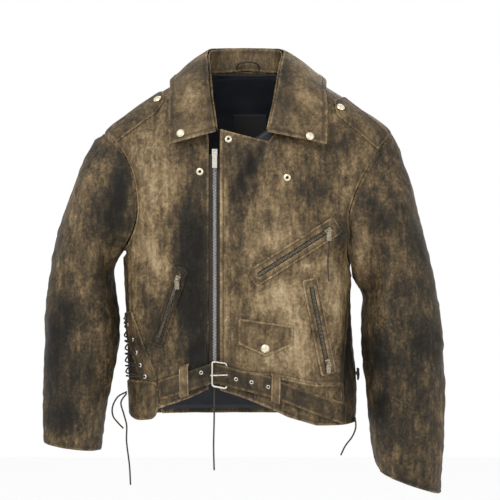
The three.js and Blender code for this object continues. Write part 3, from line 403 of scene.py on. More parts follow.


# Rubbed pale patches (+) and dark marks (-) in the front view: middle, half sizes, value. The
# dark marks are thick dye together with painted shade: along the lapel crease, in the hollows of
# the folds, beside the zip, under the armholes and over the shadowed middle of the right front.
FRONT_WEAR_AND_SHADE = [
    (-165, -125, 40, 30, 0.35), (-152, -196, 48, 50, 0.75), (-172, -316, 26, 66, 1.15),
    (-92, -300, 30, 90, -1.2),
    (-86, -420, 26, 110, -1.5), (-96, -160, 26, 30, -0.35), (-160, -470, 22, 60, -0.4),
    (-75, -498, 30, 22, -1.6),
    (-138, -400, 14, 60, 0.15), (-40, -330, 14, 220, -0.1), (-8, -185, 26, 40, -0.8),
    (12, -160, 22, 20, -0.6),
    (45, -215, 34, 40, 0.45), (112, -215, 26, 44, -0.7), (82, -180, 22, 24, 0.1), (30, -300, 50, 26, 0.75),
    (48, -398, 50, 28, 1.1), (148, -395, 24, 66, 0.9), (-40, -440, 18, 40, 0.35), (30, -502, 56, 18, 0.7),
    (86, -462, 18, 50, 1.0), (168, -490, 14, 60, -1.2), (-21, -350, 20, 40, 0.1), (200, -70, 34, 24, 0.1),
    (-190, -70, 34, 24, -0.2), (150, -140, 30, 20, -0.5), (60, -270, 60, 30, 0.3),
    (-200, -200, 20, 40, -0.6),
    (-60, -580, 40, 20, 0.1), (100, -590, 60, 16, 0.3), (-180, -575, 26, 24, 0.3),
    (22, -153, 6, 13, -1.3), (6, -179, 6, 17, -1.6), (-10, -206, 6, 16, -1.6), (-25, -230, 6, 12, -1.2),
    (-42, -330, 7, 190, 0.7), (-16, -330, 9, 150, -0.5), (96, -345, 34, 9, 0.6), (158, -300, 10, 40, -1.0),
    (-112, -400, 10, 70, -0.9), (-178, -360, 12, 40, -0.6)]


def wear_and_shade(p):
    """Painted rubbed patches and painted shade at places in millimetres, with the same leather rubbed in
    broad areas behind.
    """
    x, y, z = p[..., 0], p[..., 1], p[..., 2]
    front = np.clip(-y / 40, 0, 1)
    total = np.zeros_like(x)
    for cx, cz, rx, rz, value in FRONT_WEAR_AND_SHADE:
        total += value * np.exp(-(((x - cx) / rx) ** 2) - ((z - cz) / rz) ** 2)
    return front * total + (1 - front) * 0.5 * ripple(p * (1, 0.4, 0.8), 190, 9)


# ---- Cut leather pieces -------------------------------------------------------------------
# Every flat-cut piece is made the same way: an outline, filled with an even net of points, laid
# on its surface, given a thickness, a rolled edge and the groove that its edge stitching pulls.
SEWN = {}


def resample(points, step):
    """Even places along an open line, its corners kept."""
    out = []
    for a, b in zip(points[:-1], points[1:]):
        a, b = np.asarray(a, float), np.asarray(b, float)
        count = max(1, int(round(np.linalg.norm(b - a) / step)))
        out += [a + (b - a) * k / count for k in range(count)]
    return np.array(out + [np.asarray(points[-1], float)])


def chart(points, back=False, step=3.5):
    """A line given in the front or back view, as (turn, height) along the body."""
    line = resample(points, step)
    z = np.clip(line[:, 1], -625, 0)
    return np.stack([turn_at(line[:, 0], z, back), z], -1)


def inside(points, loop):
    x, y = points[:, 0:1], points[:, 1:2]
    ax, ay = loop[:, 0], loop[:, 1]
    bx, by = np.roll(ax, -1), np.roll(ay, -1)
    crosses = ((ay > y) != (by > y)) & (x < (bx - ax) * (y - ay) / (by - ay + 1e-12) + ax)
    return crosses.sum(1) % 2 == 1


def loop_distance(points, loop):
    a, b = loop, np.roll(loop, -1, axis=0)
    best = np.full(len(points), 1e9)
    for start in range(0, len(points), 2000):
        p = points[start:start + 2000, None]
        t = np.clip(((p - a) * (b - a)).sum(-1) / (((b - a) ** 2).sum(-1) + 1e-12), 0, 1)
        best[start:start + 2000] = np.sqrt(((p - a - t[..., None] * (b - a)) ** 2).sum(-1)).min(1)
    return best


def offset_line(loop, distance):
    """A closed line inside the loop, this far from its edge."""
    ahead = np.roll(loop, -1, axis=0) - np.roll(loop, 1, axis=0)
    normal = np.stack([-ahead[:, 1], ahead[:, 0]],
                      -1) / (np.linalg.norm(ahead, axis=1, keepdims=True) + 1e-12)
    area = (loop[:, 0] * np.roll(loop[:, 1], -1) - np.roll(loop[:, 0], -1) * loop[:, 1]).sum()
    line = loop + normal * distance * (1 if area > 0 else -1)
    return line[(loop_distance(line, loop) > distance * 0.97) & inside(line, loop)]


def fill(loop, step, rings, holes=()):
    """Points and triangles that fill a loop in its own plane, finer along the edge."""
    bands = [loop] + [offset_line(loop, r) for r in rings]
    for hole in holes:
        outer = hole.mean(0) + (hole - hole.mean(0)) * 1.5
        bands += [hole, outer]
    low, high = loop.min(0), loop.max(0)
    gx, gy = np.meshgrid(np.arange(low[0], high[0], step), np.arange(low[1], high[1], step * 0.9))
    gx = gx + (np.arange(gx.shape[0]) % 2)[:, None] * step / 2
    net = np.stack([gx.ravel(), gy.ravel()], -1)
    net = net[inside(net, loop)]
    net = net[loop_distance(net, loop) > (rings[-1] if rings else 0) + step * 0.6]
    for hole in holes:
        net = net[np.linalg.norm(net - hole.mean(0),
                                 axis=1) > np.linalg.norm(hole[0] - hole.mean(0)) * 1.5 + step / 3]
    points = np.vstack(bands + [net])
    edges, base = [], 0
    for line in [loop] + list(holes):
        base = 0 if line is loop else next(i for i in range(len(points)) if np.allclose(points[i], line[0]))
        edges += [(base + i, base + (i + 1) % len(line)) for i in range(len(line))]
    found = geometry.delaunay_2d_cdt([Vector(p) for p in points], edges, [], 0, 1e-5)
    points = np.array([tuple(p) for p in found[0]])
    triangles = np.array([f for f in found[2] if len(f) == 3])
    centre = points[triangles].mean(1)
    keep = inside(centre, loop)
    for hole in holes:
        keep &= ~inside(centre, hole)
    return points, triangles[keep]


def rims(faces):
    """The closed loops of edges that only one face uses."""
    seen = {}
    for face in faces:
        for a, b in zip(face, (*face[1:], face[0])):
            seen[(int(a), int(b))] = True
    follow = {a: b for a, b in seen if (b, a) not in seen}
    loops = []
    while follow:
        start, current = next(iter(follow.items()))
        loop = [start]
        del follow[start]
        while current != start and current in follow:
            loop.append(current)
            current = follow.pop(current)
        loops.append(loop)
    return loops


def normals_of(points, faces):
    total = np.zeros_like(points)
    edge_a = points[faces[:, 1]] - points[faces[:, 0]]
    edge_b = points[faces[:, -1]] - points[faces[:, 0]]
    face_normal = np.cross(edge_a, edge_b)
    for corner in range(faces.shape[1]):
        np.add.at(total, faces[:, corner], face_normal)
    return total / (np.linalg.norm(total, axis=1, keepdims=True) + 1e-12)


def leather_piece(name, points, faces, outward, thickness, groove=(), surface=None, shade=None,
                  round_edge=True):
    """A closed piece of leather from the net of its outer face, in millimetres.

    The net's edge is rolled over, and each groove is a distance from the edge that stitching pulls in.
    """
    faces = np.asarray(faces)
    flat = normals_of(points, faces)
    if (flat * outward).sum() < 0:
        faces = faces[:, ::-1]
        flat = -flat
    loops = rims(faces)
    tree = KDTree(sum(len(loop) for loop in loops))
    for loop in loops:
        for i in loop:
            tree.insert(points[i], i)
    tree.balance()
    distance = np.array([tree.find(p)[2] for p in points])
    drop = (0.62 * thickness * 0.5 * np.exp(-distance / 1.3)) if round_edge else 0 * distance
    for place_of in groove:
        drop += 0.75 * np.exp(-(((distance - place_of) / 1.1) ** 2)) - 0.35 * np.exp(-(((distance
            - place_of / 2) / 1.6) ** 2))
    top = points - flat * drop[:, None]
    bottom = points - flat * thickness
    count = len(points)
    solid = [tuple(f) for f in faces] + [tuple(int(i) + count for i in f[::-1]) for f in faces]
    vertices = [top, bottom]
    base = 2 * count
    for loop in loops:
        ring = np.array(loop)
        middle = (top[ring] + bottom[ring]) / 2
        around = np.roll(points[ring], -1, 0) - np.roll(points[ring], 1, 0)
        out = np.cross(around, flat[ring])
        out /= np.linalg.norm(out, axis=1, keepdims=True) + 1e-12
        vertices.append(middle + out * (0.22 * thickness if round_edge else 0))
        n = len(loop)
        for k in range(n):
            a, b, m, q = loop[k], loop[(k + 1) % n], base + k, base + (k + 1) % n
            solid += [(b, a, m, q), (q, m, a + count, b + count)]
        base += n
    vertices = np.vstack(vertices)
    mesh = bpy.data.meshes.new(name)
    mesh.from_pydata(vertices / 1000, [], solid)
    mesh.polygons.foreach_set("use_smooth", [True] * len(mesh.polygons))
    rim = np.zeros(sum(len(loop) for loop in loops))
    painted = (wear_and_shade(points) if shade is None else shade(points))
    rim_paint = np.concatenate([painted[np.array(loop)] for loop in loops]) if loops else rim
    write_attributes(mesh, vertices, np.concatenate([distance, distance, rim]),
                     np.concatenate([painted, painted, rim_paint]))
    if surface:
        mesh.materials.append(surface)
    return link(name, mesh)


def write_attributes(mesh, vertices, edge, shade):
    mesh.attributes.new("rest", "FLOAT_VECTOR", "POINT").data.foreach_set("vector",
        (vertices / 1000).ravel())
    mesh.attributes.new("edge", "FLOAT", "POINT").data.foreach_set("value", edge / 1000)
    mesh.attributes.new("shade", "FLOAT", "POINT").data.foreach_set("value", shade)


def on_body(name, outline, low, high, surface, groove=(), step=4.5, holes=(), shade=None):
    """A piece cut to an outline of (turn, height) places and laid on the body."""
    scale = np.array([200.0, 1.0])
    loop = outline * scale
    keep = np.linalg.norm(loop - np.roll(loop, 1, 0), axis=1) > 0.4
    loop = loop[keep]
    rings = [0.9, 2.0, 3.4, 4.8, 6.4, 8.4] if groove else [0.9, 2.2, 4.2]
    net, triangles = fill(loop, step, rings, [h * scale for h in holes])
    flat = net / scale
    points = body(flat[:, 0], flat[:, 1], high)
    outward = body_normal(flat[:, 0], flat[:, 1])
    piece = leather_piece(name, points, triangles, outward, high - low, groove, surface, shade)
    return piece, loop, scale


STITCH_PITCH = 4.3  # from one stitch to the next, in millimetres
STITCH_SINK = 0.62  # how far a row of stitches pulls into the leather
WIDEST_STITCH_GAP = 14  # a row stops where its line jumps further than this


def sew(body_name, points, normals, pitch=STITCH_PITCH, size=1.0):
    """Marks a row of stitches along a line of places in millimetres."""
    points = np.asarray(points)
    steps = np.linalg.norm(np.diff(points, axis=0), axis=1)
    run = np.concatenate([[0], np.cumsum(steps)])
    if run[-1] < pitch:
        return
    places = np.arange(pitch / 2, run[-1], pitch)
    at = np.stack([np.interp(places, run, points[:, k]) for k in range(3)], -1)
    up = np.stack([np.interp(places, run, normals[:, k]) for k in range(3)], -1)
    ahead = np.stack([np.interp(places + 0.5, run, points[:, k]) - np.interp(places - 0.5, run, points[:, k])
                      for k in range(3)], -1)
    SEWN.setdefault(body_name, []).append((at, ahead, up, np.full(len(at), size)))


def sew_edge(body_name, loop, scale, inset, lift):
    """Stitches a piece's edge, this far in from it."""
    line = offset_line(loop, inset)
    if len(line) < 4:
        return
    gaps = np.linalg.norm(np.roll(line, -1, 0) - line, axis=1) > WIDEST_STITCH_GAP
    start = (int(np.argmax(gaps)) + 1) if gaps.any() else 0
    line = np.roll(line, -start, axis=0)
    if not gaps.any():
        line = np.vstack([line, line[:1]])
    flat = line / scale
    places = body(flat[:, 0], flat[:, 1], lift - STITCH_SINK)
    normals = body_normal(flat[:, 0], flat[:, 1])
    jumps = np.linalg.norm(np.diff(line, axis=0, append=line[-1:]), axis=1)
    cuts = np.flatnonzero(jumps > WIDEST_STITCH_GAP)
    begin = 0
    for cut in list(cuts) + [len(places)]:
        if cut - begin > 3:
            sew(body_name, places[begin:cut], normals[begin:cut])
        begin = cut + 1


# ---- Torso panels -------------------------------------------------------------------------
# The front, back, yoke and side panels: 3 mm of backed cowhide, cut apart at the real seams. The
# seam edges are turned under and topstitched 5 mm in.
TAN = leather("front leather", 0.50)
LEFT_TAN = leather("left front leather", 0.53)
BACK_TAN = leather("back leather", 0.47)
DARK = leather("side leather", 0.36, 0.8)
COLLAR_LEATHER = leather("collar leather", 0.50, 0.75, 0.7)
TRIM_LEATHER = leather("trim leather", 0.45, 0.85, 0.7)
BELT_LEATHER = leather("belt leather", 0.42, 0.75, 0.7)

WAIST = [(-210, -549), (-155, -545), (-67, -522), (-47, -522), (61, -534), (115, -546), (200, -546)]
HEM = [(-215, -596), (-152, -586), (-98, -567), (-70, -553), (-47, -554), (-3, -568), (36, -584), (67, -599),
       (115, -614), (200, -618)]
ARMHOLES = {
    "right": (-1, -320, [(-224, -138), (-205, -167), (-194, -198), (-188, -241), (-193, -275), (-206, -304)],
              [(-232, -140), (-216, -170), (-205, -205), (-200, -245), (-204, -280), (-213, -306)]),
    "left": (1, -366, [(222, -150), (197, -191), (177, -240), (169, -285), (170, -322), (178, -350)],
             [(232, -150), (212, -191), (195, -240), (184, -285), (180, -322), (182, -350)]),
}
SIDE_SEAMS = {
    "right": ([(-206, -318), (-203, -428), (-155, -566), (-150, -640)],
              [(-212, -318), (-190, -428), (-160, -566), (-155, -640)]),
    "left": ([(180, -364), (172, -450), (163, -540), (163, -640)],
             [(180, -364), (168, -450), (158, -540), (155, -640)]),
}


def armhole(side, back, share):
    """Places on an armhole's curve, in the front or back view, from the shoulder to the armpit."""
    sign, bottom, front_points, back_points = ARMHOLES[side]
    ends = [(section(1, z) * sign + section(5, z), z) for z in (np.float64(-114), np.float64(bottom))]
    points = [ends[0]] + (back_points if back else front_points) + [ends[1]]
    p = np.array([points[0], *points, points[-1]], float)
    t = np.clip(share, 0, 1 - 1e-9) * (len(points) - 1)
    i = np.floor(t).astype(int)
    f = (t - i)[..., None]
    a, b, c, d = p[i], p[i + 1], p[i + 2], p[i + 3]
    return 0.5 * (2 * b + (c - a) * f + (2 * a - 5 * b + 4 * c - d) * f**2 + (3 * b - a - 3 * c + d) * f**3)


def on_line(line, x):
    line = np.array(line, float)
    return np.interp(x, line[:, 0], line[:, 1])


def at_height(line, z):
    line = np.array(line, float)[::-1]
    return np.interp(z, line[:, 1], line[:, 0])


SHOULDER_SEAM_FORWARD = 14  # millimetres that the shoulder seam lies to the front


def shoulder_seam(sign, count=34):
    """The seam over one shoulder, from the neck out to the armhole."""
    z = np.linspace(0, -114, count)
    turn = np.full(count, np.pi / 2)
    for _ in range(12):
        y = body_smooth(turn, z)[..., 1]
        turn = turn - (y + SHOULDER_SEAM_FORWARD) / np.maximum(section(2, z), 1)
    turn = np.clip(turn, 0.9, np.pi / 2 + 0.3)
    return np.stack([sign * turn, z], -1)


def joined(*lines):
    return np.vstack([np.asarray(line) for line in lines])


def front_outline(side, neck, edge_x):
    """A front panel's outline, from its waist or hem up round the armhole and neck."""
    sign = ARMHOLES[side][0]
    seam = SIDE_SEAMS[side][0]
    foot_z = on_line(WAIST, at_height(seam, -545))
    foot_x = at_height(seam, foot_z)
    xs = [foot_x] + sorted([x for x, _ in WAIST if min(foot_x, edge_x) < x < max(foot_x, edge_x)],
                           reverse=foot_x > edge_x) + [edge_x]
    waist = chart([(x, on_line(WAIST, x) + 0.3) for x in xs])
    up = chart([(edge_x, on_line(WAIST, edge_x) + 3), *neck])
    shoulder = shoulder_seam(sign)
    hole = armhole(side, False, np.linspace(0.001, 1, 70))
    hole = np.stack([turn_at(hole[:, 0], hole[:, 1]), hole[:, 1]], -1)
    start = (at_height(seam, seam[0][1] - 3), seam[0][1] - 3)
    down = chart([start] + [p for p in seam if foot_z < p[1] < seam[0][1] - 3] + [(foot_x, foot_z + 3)])
    return joined(waist, up, shoulder[1:], hole, down)


RIGHT_NECK = [(-67, -128), (-74, -95), (-84, -55), (-90, -20), (-91, -8)]
LEFT_NECK = [(-47, -113), (35, -135), (52, -112), (72, -70), (86, -30), (90, -8)]
PANEL_GROOVE = (5.0,)


for side, neck, edge_x, panel_leather in (("right", RIGHT_NECK, -67, TAN),
                                          ("left", LEFT_NECK, -47, LEFT_TAN)):
    outline = front_outline(side, neck, edge_x)
    panel, loop, scale = on_body(f"{side}_front_hide", outline, -3, 0, panel_leather, PANEL_GROOVE)
    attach(panel, "torso")
    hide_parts(f"{side}_front_panel")
    sew_edge("torso", loop, scale, 5, 0)
    sign = ARMHOLES[side][0]
    seam = SIDE_SEAMS[side][0]
    hem_z = on_line(HEM, at_height(seam, -590))
    top_x, low_x = at_height(seam, -548), at_height(seam, hem_z)
    xs = [low_x] + sorted([x for x, _ in HEM if min(low_x, edge_x) < x < max(low_x, edge_x)],
                          reverse=low_x > edge_x) + [edge_x]
    xs_up = [edge_x] + sorted([x for x, _ in WAIST if min(top_x, edge_x) < x < max(top_x, edge_x)],
                              reverse=top_x < edge_x) + [top_x]
    band = chart([(x, on_line(HEM, x)) for x in xs] + [(x, on_line(WAIST, x) - 0.6) for x in xs_up]
                 + [(low_x, hem_z + 3)])
    piece, loop, scale = on_body(f"{side}_hem_hide", band, -3, 0, panel_leather, PANEL_GROOVE)
    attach(piece, "torso")
    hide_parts(f"{side}_hem_band")
    sew_edge("torso", loop, scale, 5, 0)

half = np.linspace(0, 1, 26)
right_shoulder, left_shoulder = shoulder_seam(-1), shoulder_seam(1)
right_shoulder[:, 0] += 2 * np.pi


def back_hole(side, high, low):
    share = np.linspace(0.001, 1, 90)
    places = armhole(side, True, share)
    places = places[(places[:, 1] <= high) & (places[:, 1] >= low)]
    return np.stack([turn_at(places[:, 0], places[:, 1], True), places[:, 1]], -1)


def level(z, start, end):
    turns = np.linspace(start, end, max(3, int(abs(end - start) * 60)))
    return np.stack([turns, np.full(len(turns), float(z))], -1)


left_hole, right_hole = back_hole("left", -114, -185), back_hole("right", -114, -185)
yoke = joined(level(-0.2, right_shoulder[0, 0], left_shoulder[0, 0]), left_shoulder[1:-1], left_hole,
              level(-184.7, left_hole[-1, 0] + 0.01, right_hole[-1, 0] - 0.01), right_hole[::-1],
              right_shoulder[::-1][1:-1])
piece, loop, scale = on_body("yoke_hide", yoke, -3, 0, BACK_TAN, PANEL_GROOVE)
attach(piece, "torso")
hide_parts("back_yoke")
sew_edge("torso", loop, scale, 5, 0)

left_low, right_low = back_hole("left", -186, -364), back_hole("right", -186, -318)
left_seam = chart([(x, z) for x,
                   z in [(at_height(SIDE_SEAMS["left"][1], z), z) for z in (-368, -450, -540, -609)]], True)
right_seam = chart([(x, z) for x,
                    z in [(at_height(SIDE_SEAMS["right"][1], z), z) for z in (-322, -428, -566, -609)]],
                    True)
back_outline = joined(level(-186, right_low[0, 0], left_low[0, 0])[::1], left_low[1:], left_seam,
                      level(-612, left_seam[-1, 0] + 0.01, right_seam[-1, 0] - 0.01), right_seam[::-1],
                      right_low[::-1][:-1])
piece, loop, scale = on_body("back_hide", back_outline, -3, 0, BACK_TAN, PANEL_GROOVE, step=5)
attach(piece, "torso")
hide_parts("back_panel")
sew_edge("torso", loop, scale, 5, 0)

for side in ("right", "left"):
    sign = ARMHOLES[side][0]
    front_seam, rear_seam = SIDE_SEAMS[side]
    top_z = front_seam[0][1]
    hem_z = on_line(HEM, at_height(front_seam, -600))
    front_side = chart([(at_height(front_seam, z) + 0.7 * sign, z) for z in np.linspace(top_z, hem_z, 24)])
    rear_side = chart([(at_height(rear_seam, z) + 0.7 * sign, z) for z in np.linspace(top_z, -611, 24)],
                      True)
    if sign < 0:
        rear_side[:, 0] -= 2 * np.pi
    low = np.linspace(front_side[-1], rear_side[-1], 40)[1:-1]
    gore = joined(front_side, low, rear_side[::-1])
    piece, loop, scale = on_body(f"{side}_side_hide", gore, -3, 0, DARK, PANEL_GROOVE)
    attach(piece, "torso")
    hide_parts(f"{side}_side_panel")
    sew_edge("torso", loop, scale, 5, 0)


# ---- Sleeves ------------------------------------------------------------------------------
# Set-in sleeves of 3 mm leather, curved like a bent arm and sewn into the armholes. Each is one
# creased tube with a satin lining tube inside.
SLEEVES = {
    "right": [(-281, -151, -233, -352, 90, -4), (-313, -232, -231, -384, 84, -6),
              (-336, -303, -228, -418, 78, -9),
              (-347, -369, -225, -450, 72, -13), (-353, -435, -224, -482, 66, -17),
              (-354, -517, -234, -539, 61, -22),
              (-355, -583, -246, -592, 56, -27), (-354, -650, -254, -663, 50, -32)],
    "left": [(279, -187, 200, -398, 92, -8), (304, -279, 197, -432, 86, -14),
             (325, -368, 197, -468, 79, -20),
             (337, -454, 200, -509, 72, -25), (341, -549, 206, -574, 66, -30),
             (339, -626, 213, -636, 60, -34),
             (335, -686, 220, -684, 55, -38), (333, -736, 228, -702, 50, -42)],
}
# Creases in the front view, with the same meaning as the body's folds.
SLEEVE_FOLDS = [
    (-236, -170, -222, -300, 9, -3), (-250, -200, -236, -330, 13, 2.4), (-300, -380, -236, -410, 10, -2.6),
    (-320, -410, -240, -440, 9, 2.0), (-320, -450, -238, -462, 9, -2.4), (-240, -330, -228, -420, 9, -3),
    (-290, -520, -250, -640, 14, 1.8), (-330, -480, -340, -620, 14, -1.6), (-346, -600, -270, -606, 12, 1.2),
    (232, -200, 206, -330, 9, -3), (248, -190, 226, -330, 12, 2.6), (215, -330, 212, -450, 9, -2.6),
    (300, -420, 214, -470, 11, -2.6), (310, -450, 214, -500, 10, 2.2), (316, -490, 216, -530, 10, -2.4),
    (290, -560, 250, -690, 14, 1.8), (322, -540, 318, -700, 13, -1.8), (230, -560, 238, -690, 8, -1.6)]
# Rubbed pale patches (+) and dark marks (-) on the sleeves in the front view: middle, half sizes, value. The
# dark marks are painted shade along the sleeves' edges, under the arms and in the elbow creases, together
# with thick dye.
SLEEVE_WEAR_AND_SHADE = [
    (-262, -160, 30, 26, -0.5), (-268, -200, 26, 40, 0.5), (-214, -200, 16, 60, -1.3),
    (-229, -250, 18, 40, -1.3),
    (-300, -270, 26, 40, 0.35), (-262, -310, 26, 34, 0.2), (-245, -385, 20, 40, -0.8),
    (-318, -430, 30, 34, -1.0),
    (-300, -345, 40, 26, 0.2), (-270, -400, 16, 40, 0.2), (-333, -495, 20, 50, -1.6),
    (-290, -520, 24, 40, -0.8),
    (-317, -600, 30, 40, -1.1), (-262, -560, 12, 60, -0.4), (-290, -640, 40, 14, 0.15),
    (-340, -330, 12, 60, -0.2),
    (-252, -478, 10, 30, 0.3), (231, -150, 26, 20, 0.0), (248, -194, 24, 24, 0.25),
    (209, -237, 16, 36, -0.7),
    (193, -303, 14, 40, 0.9), (259, -336, 30, 30, 0.35), (240, -270, 30, 26, -0.7),
    (303, -325, 20, 40, -0.8),
    (320, -400, 16, 40, -0.5), (242, -435, 26, 26, 0.1), (303, -468, 26, 34, -1.3),
    (222, -495, 20, 40, -1.5),
    (270, -520, 30, 26, -0.7), (286, -570, 40, 30, -0.9), (231, -600, 14, 50, -0.9),
    (280, -640, 30, 20, -0.4),
    (262, -662, 24, 16, 0.35), (315, -700, 20, 24, 0.3), (330, -520, 12, 60, -0.2),
    (215, -390, 12, 40, -0.3)]


def armhole_ring(side, turn):
    """Places on the body all round an armhole: 0 is the shoulder, a quarter turn the front."""
    sign = ARMHOLES[side][0]
    front_side = turn <= np.pi
    share = np.where(front_side, turn / np.pi, 2 - turn / np.pi)
    flat = np.where(front_side[:, None], armhole(side, False, share), armhole(side, True, share))
    power = section(4, flat[:, 1])
    across = np.minimum(1, np.abs(flat[:, 0] - section(5, flat[:, 1])) / section(1, flat[:, 1]))
    depth = np.where(front_side, section(2, flat[:, 1]),
                     section(3, flat[:, 1])) * (1 - across**power) ** (1 / power)
    return np.stack([flat[:, 0] + 0.6 * sign, np.where(front_side, -depth, depth), flat[:, 1]], -1)


def sleeve_net(side, around=120, along=150):
    """The sleeve's outer face as rings of places in millimetres, from the armhole to the cuff."""
    turn = np.arange(around) * 2 * np.pi / around
    rings = [armhole_ring(side, turn)]
    for ox, oz, ix, iz, depth, y in SLEEVES[side]:
        c, s = np.cos(turn), np.sin(turn)
        rings.append(np.stack([(ox + ix) / 2 + (ox - ix) / 2 * c, y - depth * s,
                               (oz + iz) / 2 + (oz - iz) / 2 * c], -1))
    p = np.array([2 * rings[0] - rings[1], *rings, 2 * rings[-1] - rings[-2]])
    share = np.linspace(0, 1, along)
    t = np.clip(share * 8, 0, 8 - 1e-6)
    i = np.floor(t).astype(int)
    f = (t - i)[:, None, None]
    a, b, c, d = p[i], p[i + 1], p[i + 2], p[i + 3]
    net = 0.5 * (2 * b + (c - a) * f + (2 * a - 5 * b + 4 * c - d) * f**2 + (3 * b - a - 3 * c + d) * f**3)
    normal = np.cross(np.roll(net, -1, 1) - np.roll(net, 1, 1), np.gradient(net, axis=0))
    normal /= np.linalg.norm(normal, axis=-1, keepdims=True) + 1e-9
    centre = net.mean(1, keepdims=True)
    normal *= np.sign(((net - centre) * normal).sum(-1, keepdims=True).mean())
    front_share = np.clip((centre[..., 1:2] - net[..., 1:2])[..., 0] / 40, 0, 1)
    back_share = np.clip((net[..., 1:2] - centre[..., 1:2])[..., 0] / 40, 0, 1)
    rise = np.clip(share / 0.06, 0, 1)[:, None]
    lift = front_share * along_lines(net[..., 0], net[..., 2], SLEEVE_FOLDS)
    lift += 0.7 * back_share * along_lines(net[..., 0], net[..., 2] + 30, SLEEVE_FOLDS)
    lift += 1.5 * ripple(net * (1, 1, 0.6), 62, 21) + 0.6 * ripple(net * (0.6, 1, 1), 24, 22)
    elbow = np.exp(-(((share - 0.52) / 0.2) ** 2))[:, None]
    lift += elbow * 1.4 * ripple(net * (0.35, 0.5, 1), 30, 23)
    lift += 3.2 * np.exp(-(((share - 0.045) / 0.03) ** 2))[:, None] * np.clip(np.cos(turn) + 0.3, 0, 1)
    lift = lift * rise
    if side == "right":
        lift = settle(net, normal, lift, SEATS["right_cuff"], 9)
    return net + normal * lift[..., None], normal, share


def ring_faces(rows, around):
    return np.array([(r * around + k, r * around + (k + 1) % around, (r + 1) * around + (k + 1) % around,
                      (r + 1) * around + k) for r in range(rows - 1) for k in range(around)])


# The sleeves' painted rubbing and painted shade in front; a random tone behind, all a little darker.
def sleeve_wear_and_shade(p):
    total = np.zeros(len(p))
    front = np.clip((-20 - p[:, 1]) / 30 + 0.4, 0, 1)
    for cx, cz, rx, rz, value in SLEEVE_WEAR_AND_SHADE:
        total += value * np.exp(-(((p[:, 0] - cx) / rx) ** 2) - ((p[:, 2] - cz) / rz) ** 2)
    return front * total + (1 - front) * 0.6 * ripple(p * (0.8, 0.5, 0.8), 170, 12) - 0.1


SLEEVE_LEATHER = leather("sleeve leather", 0.455, 1.0, 1.2)
satin, satin_tree, satin_shader = material(
    "lining satin", sheen_weight=0.35, sheen_roughness=0.4, roughness=0.42, specular_ior_level=0.35)
weave = noise(satin_tree, attribute(satin_tree, "rest", "Vector"), 26, 4, 0.55)
satin_tree.links.new(ramp(satin_tree, weave,
                          [(0.3, (0.0018, 0.0026, 0.0052)), (0.7, (0.006, 0.0085, 0.016))]),
                     satin_shader.inputs["Base Color"])
threads = plug(satin_tree, "ShaderNodeTexWave",
               {"Vector": attribute(satin_tree, "rest", "Vector"), "Scale": 900.0, "Distortion": 0.6},
               bands_direction="DIAGONAL")
fine = plug(satin_tree, "ShaderNodeBump",
            {"Height": threads.outputs["Fac"], "Strength": 0.25, "Distance": 0.0002})
satin_tree.links.new(fine.outputs["Normal"], satin_shader.inputs["Normal"])

sleeve_grids = {}
for side in ("right", "left"):
    net, normal, share = sleeve_net(side)
    sleeve_grids[side] = (net, normal)
    rows, around = net.shape[:2]
    faces = ring_faces(rows, around)
    tube = leather_piece(f"{side}_sleeve_hide", net.reshape(-1, 3), faces, normal.reshape(-1, 3), 3,
                         (5.0, 24.0), SLEEVE_LEATHER, sleeve_wear_and_shade)
    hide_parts(f"{side}_sleeve")
    inner = net - normal * 4.4
    rows_in = inner[4:-5]
    lining = leather_piece(f"{side}_sleeve_lining", rows_in.reshape(-1, 3), ring_faces(len(rows_in), around),
                           normal[4:-5].reshape(-1, 3), 1.0, (), satin, round_edge=False)
    for piece in (tube, lining):
        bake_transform(piece)


# ---- Collar -------------------------------------------------------------------------------
# A stand round the neck and a folded-over collar with two free points. The upper collar is one
# soft hide, stitched in from its outer edge; press studs hold its two points down.
STAND_FOOT = [(0, 44, 1), (-50, 36, -3), (-84, 8, -5), (-86, -30, -26), (-74, -66, -62)]
ROLL = [(0, 52, 40), (-45, 40, 38), (-68, 8, 30), (-66, -34, -2), (-60, -80, -60), (-52, -113, -116)]
COLLAR_EDGE = [(0, 104, -34), (-72, 94, -34), (-128, 24, -14), (-130, -54, -48), (-130, -98, -96),
               (-128, -116, -137)]
NECK_CENTRE = np.array([0, -20, -60.0])


def three_curve(points, share):
    """Places along the smooth curve through a few points, by share of its point count."""
    p = np.asarray(points, float)
    p = np.vstack([2 * p[0] - p[1], p, 2 * p[-1] - p[-2]])
    t = np.clip(share, 0, 1 - 1e-9) * (len(p) - 3)
    i = np.floor(t).astype(int)
    f = (t - i)[:, None]
    a, b, c, d = p[i], p[i + 1], p[i + 2], p[i + 3]
    return 0.5 * (2 * b + (c - a) * f + (2 * a - 5 * b + 4 * c - d) * f**2 + (3 * b - a - 3 * c + d) * f**3)


def collar_curve(points, sign, shift=0.0):
    return [(-sign * x + shift * i / (len(points) - 1), y, z) for i, (x, y, z) in enumerate(points)]


def collar_strip(sign, start, end, rows, columns, full):
    """A net between two of the collar's curves: the stand, or the fall over it."""
    share = np.linspace(start, end, rows)
    shift = -20 if sign > 0 else 0
    upper = three_curve(collar_curve(ROLL, sign, shift), share)
    other = three_curve(collar_curve(COLLAR_EDGE if full else STAND_FOOT, sign), share)
    t = np.linspace(0, 1, columns)[None, :, None]
    if not full:
        return other[:, None] + (upper - other)[:, None] * t
    net = upper[:, None] + (other - upper)[:, None] * t
    lift = 10 * np.sin(np.pi * np.minimum(1, t[..., 0] * 1.3)) * (1 - 0.45 * share[:, None])
    bow = np.stack([0 * lift, lift * np.where(share < 0.35, 0.6, -0.7)[:, None],
                    lift * 0.5 * (1 - share[:, None])], -1)
    net = net + bow
    away = net - NECK_CENTRE
    return net + away / np.linalg.norm(away, axis=-1, keepdims=True) * 4.8


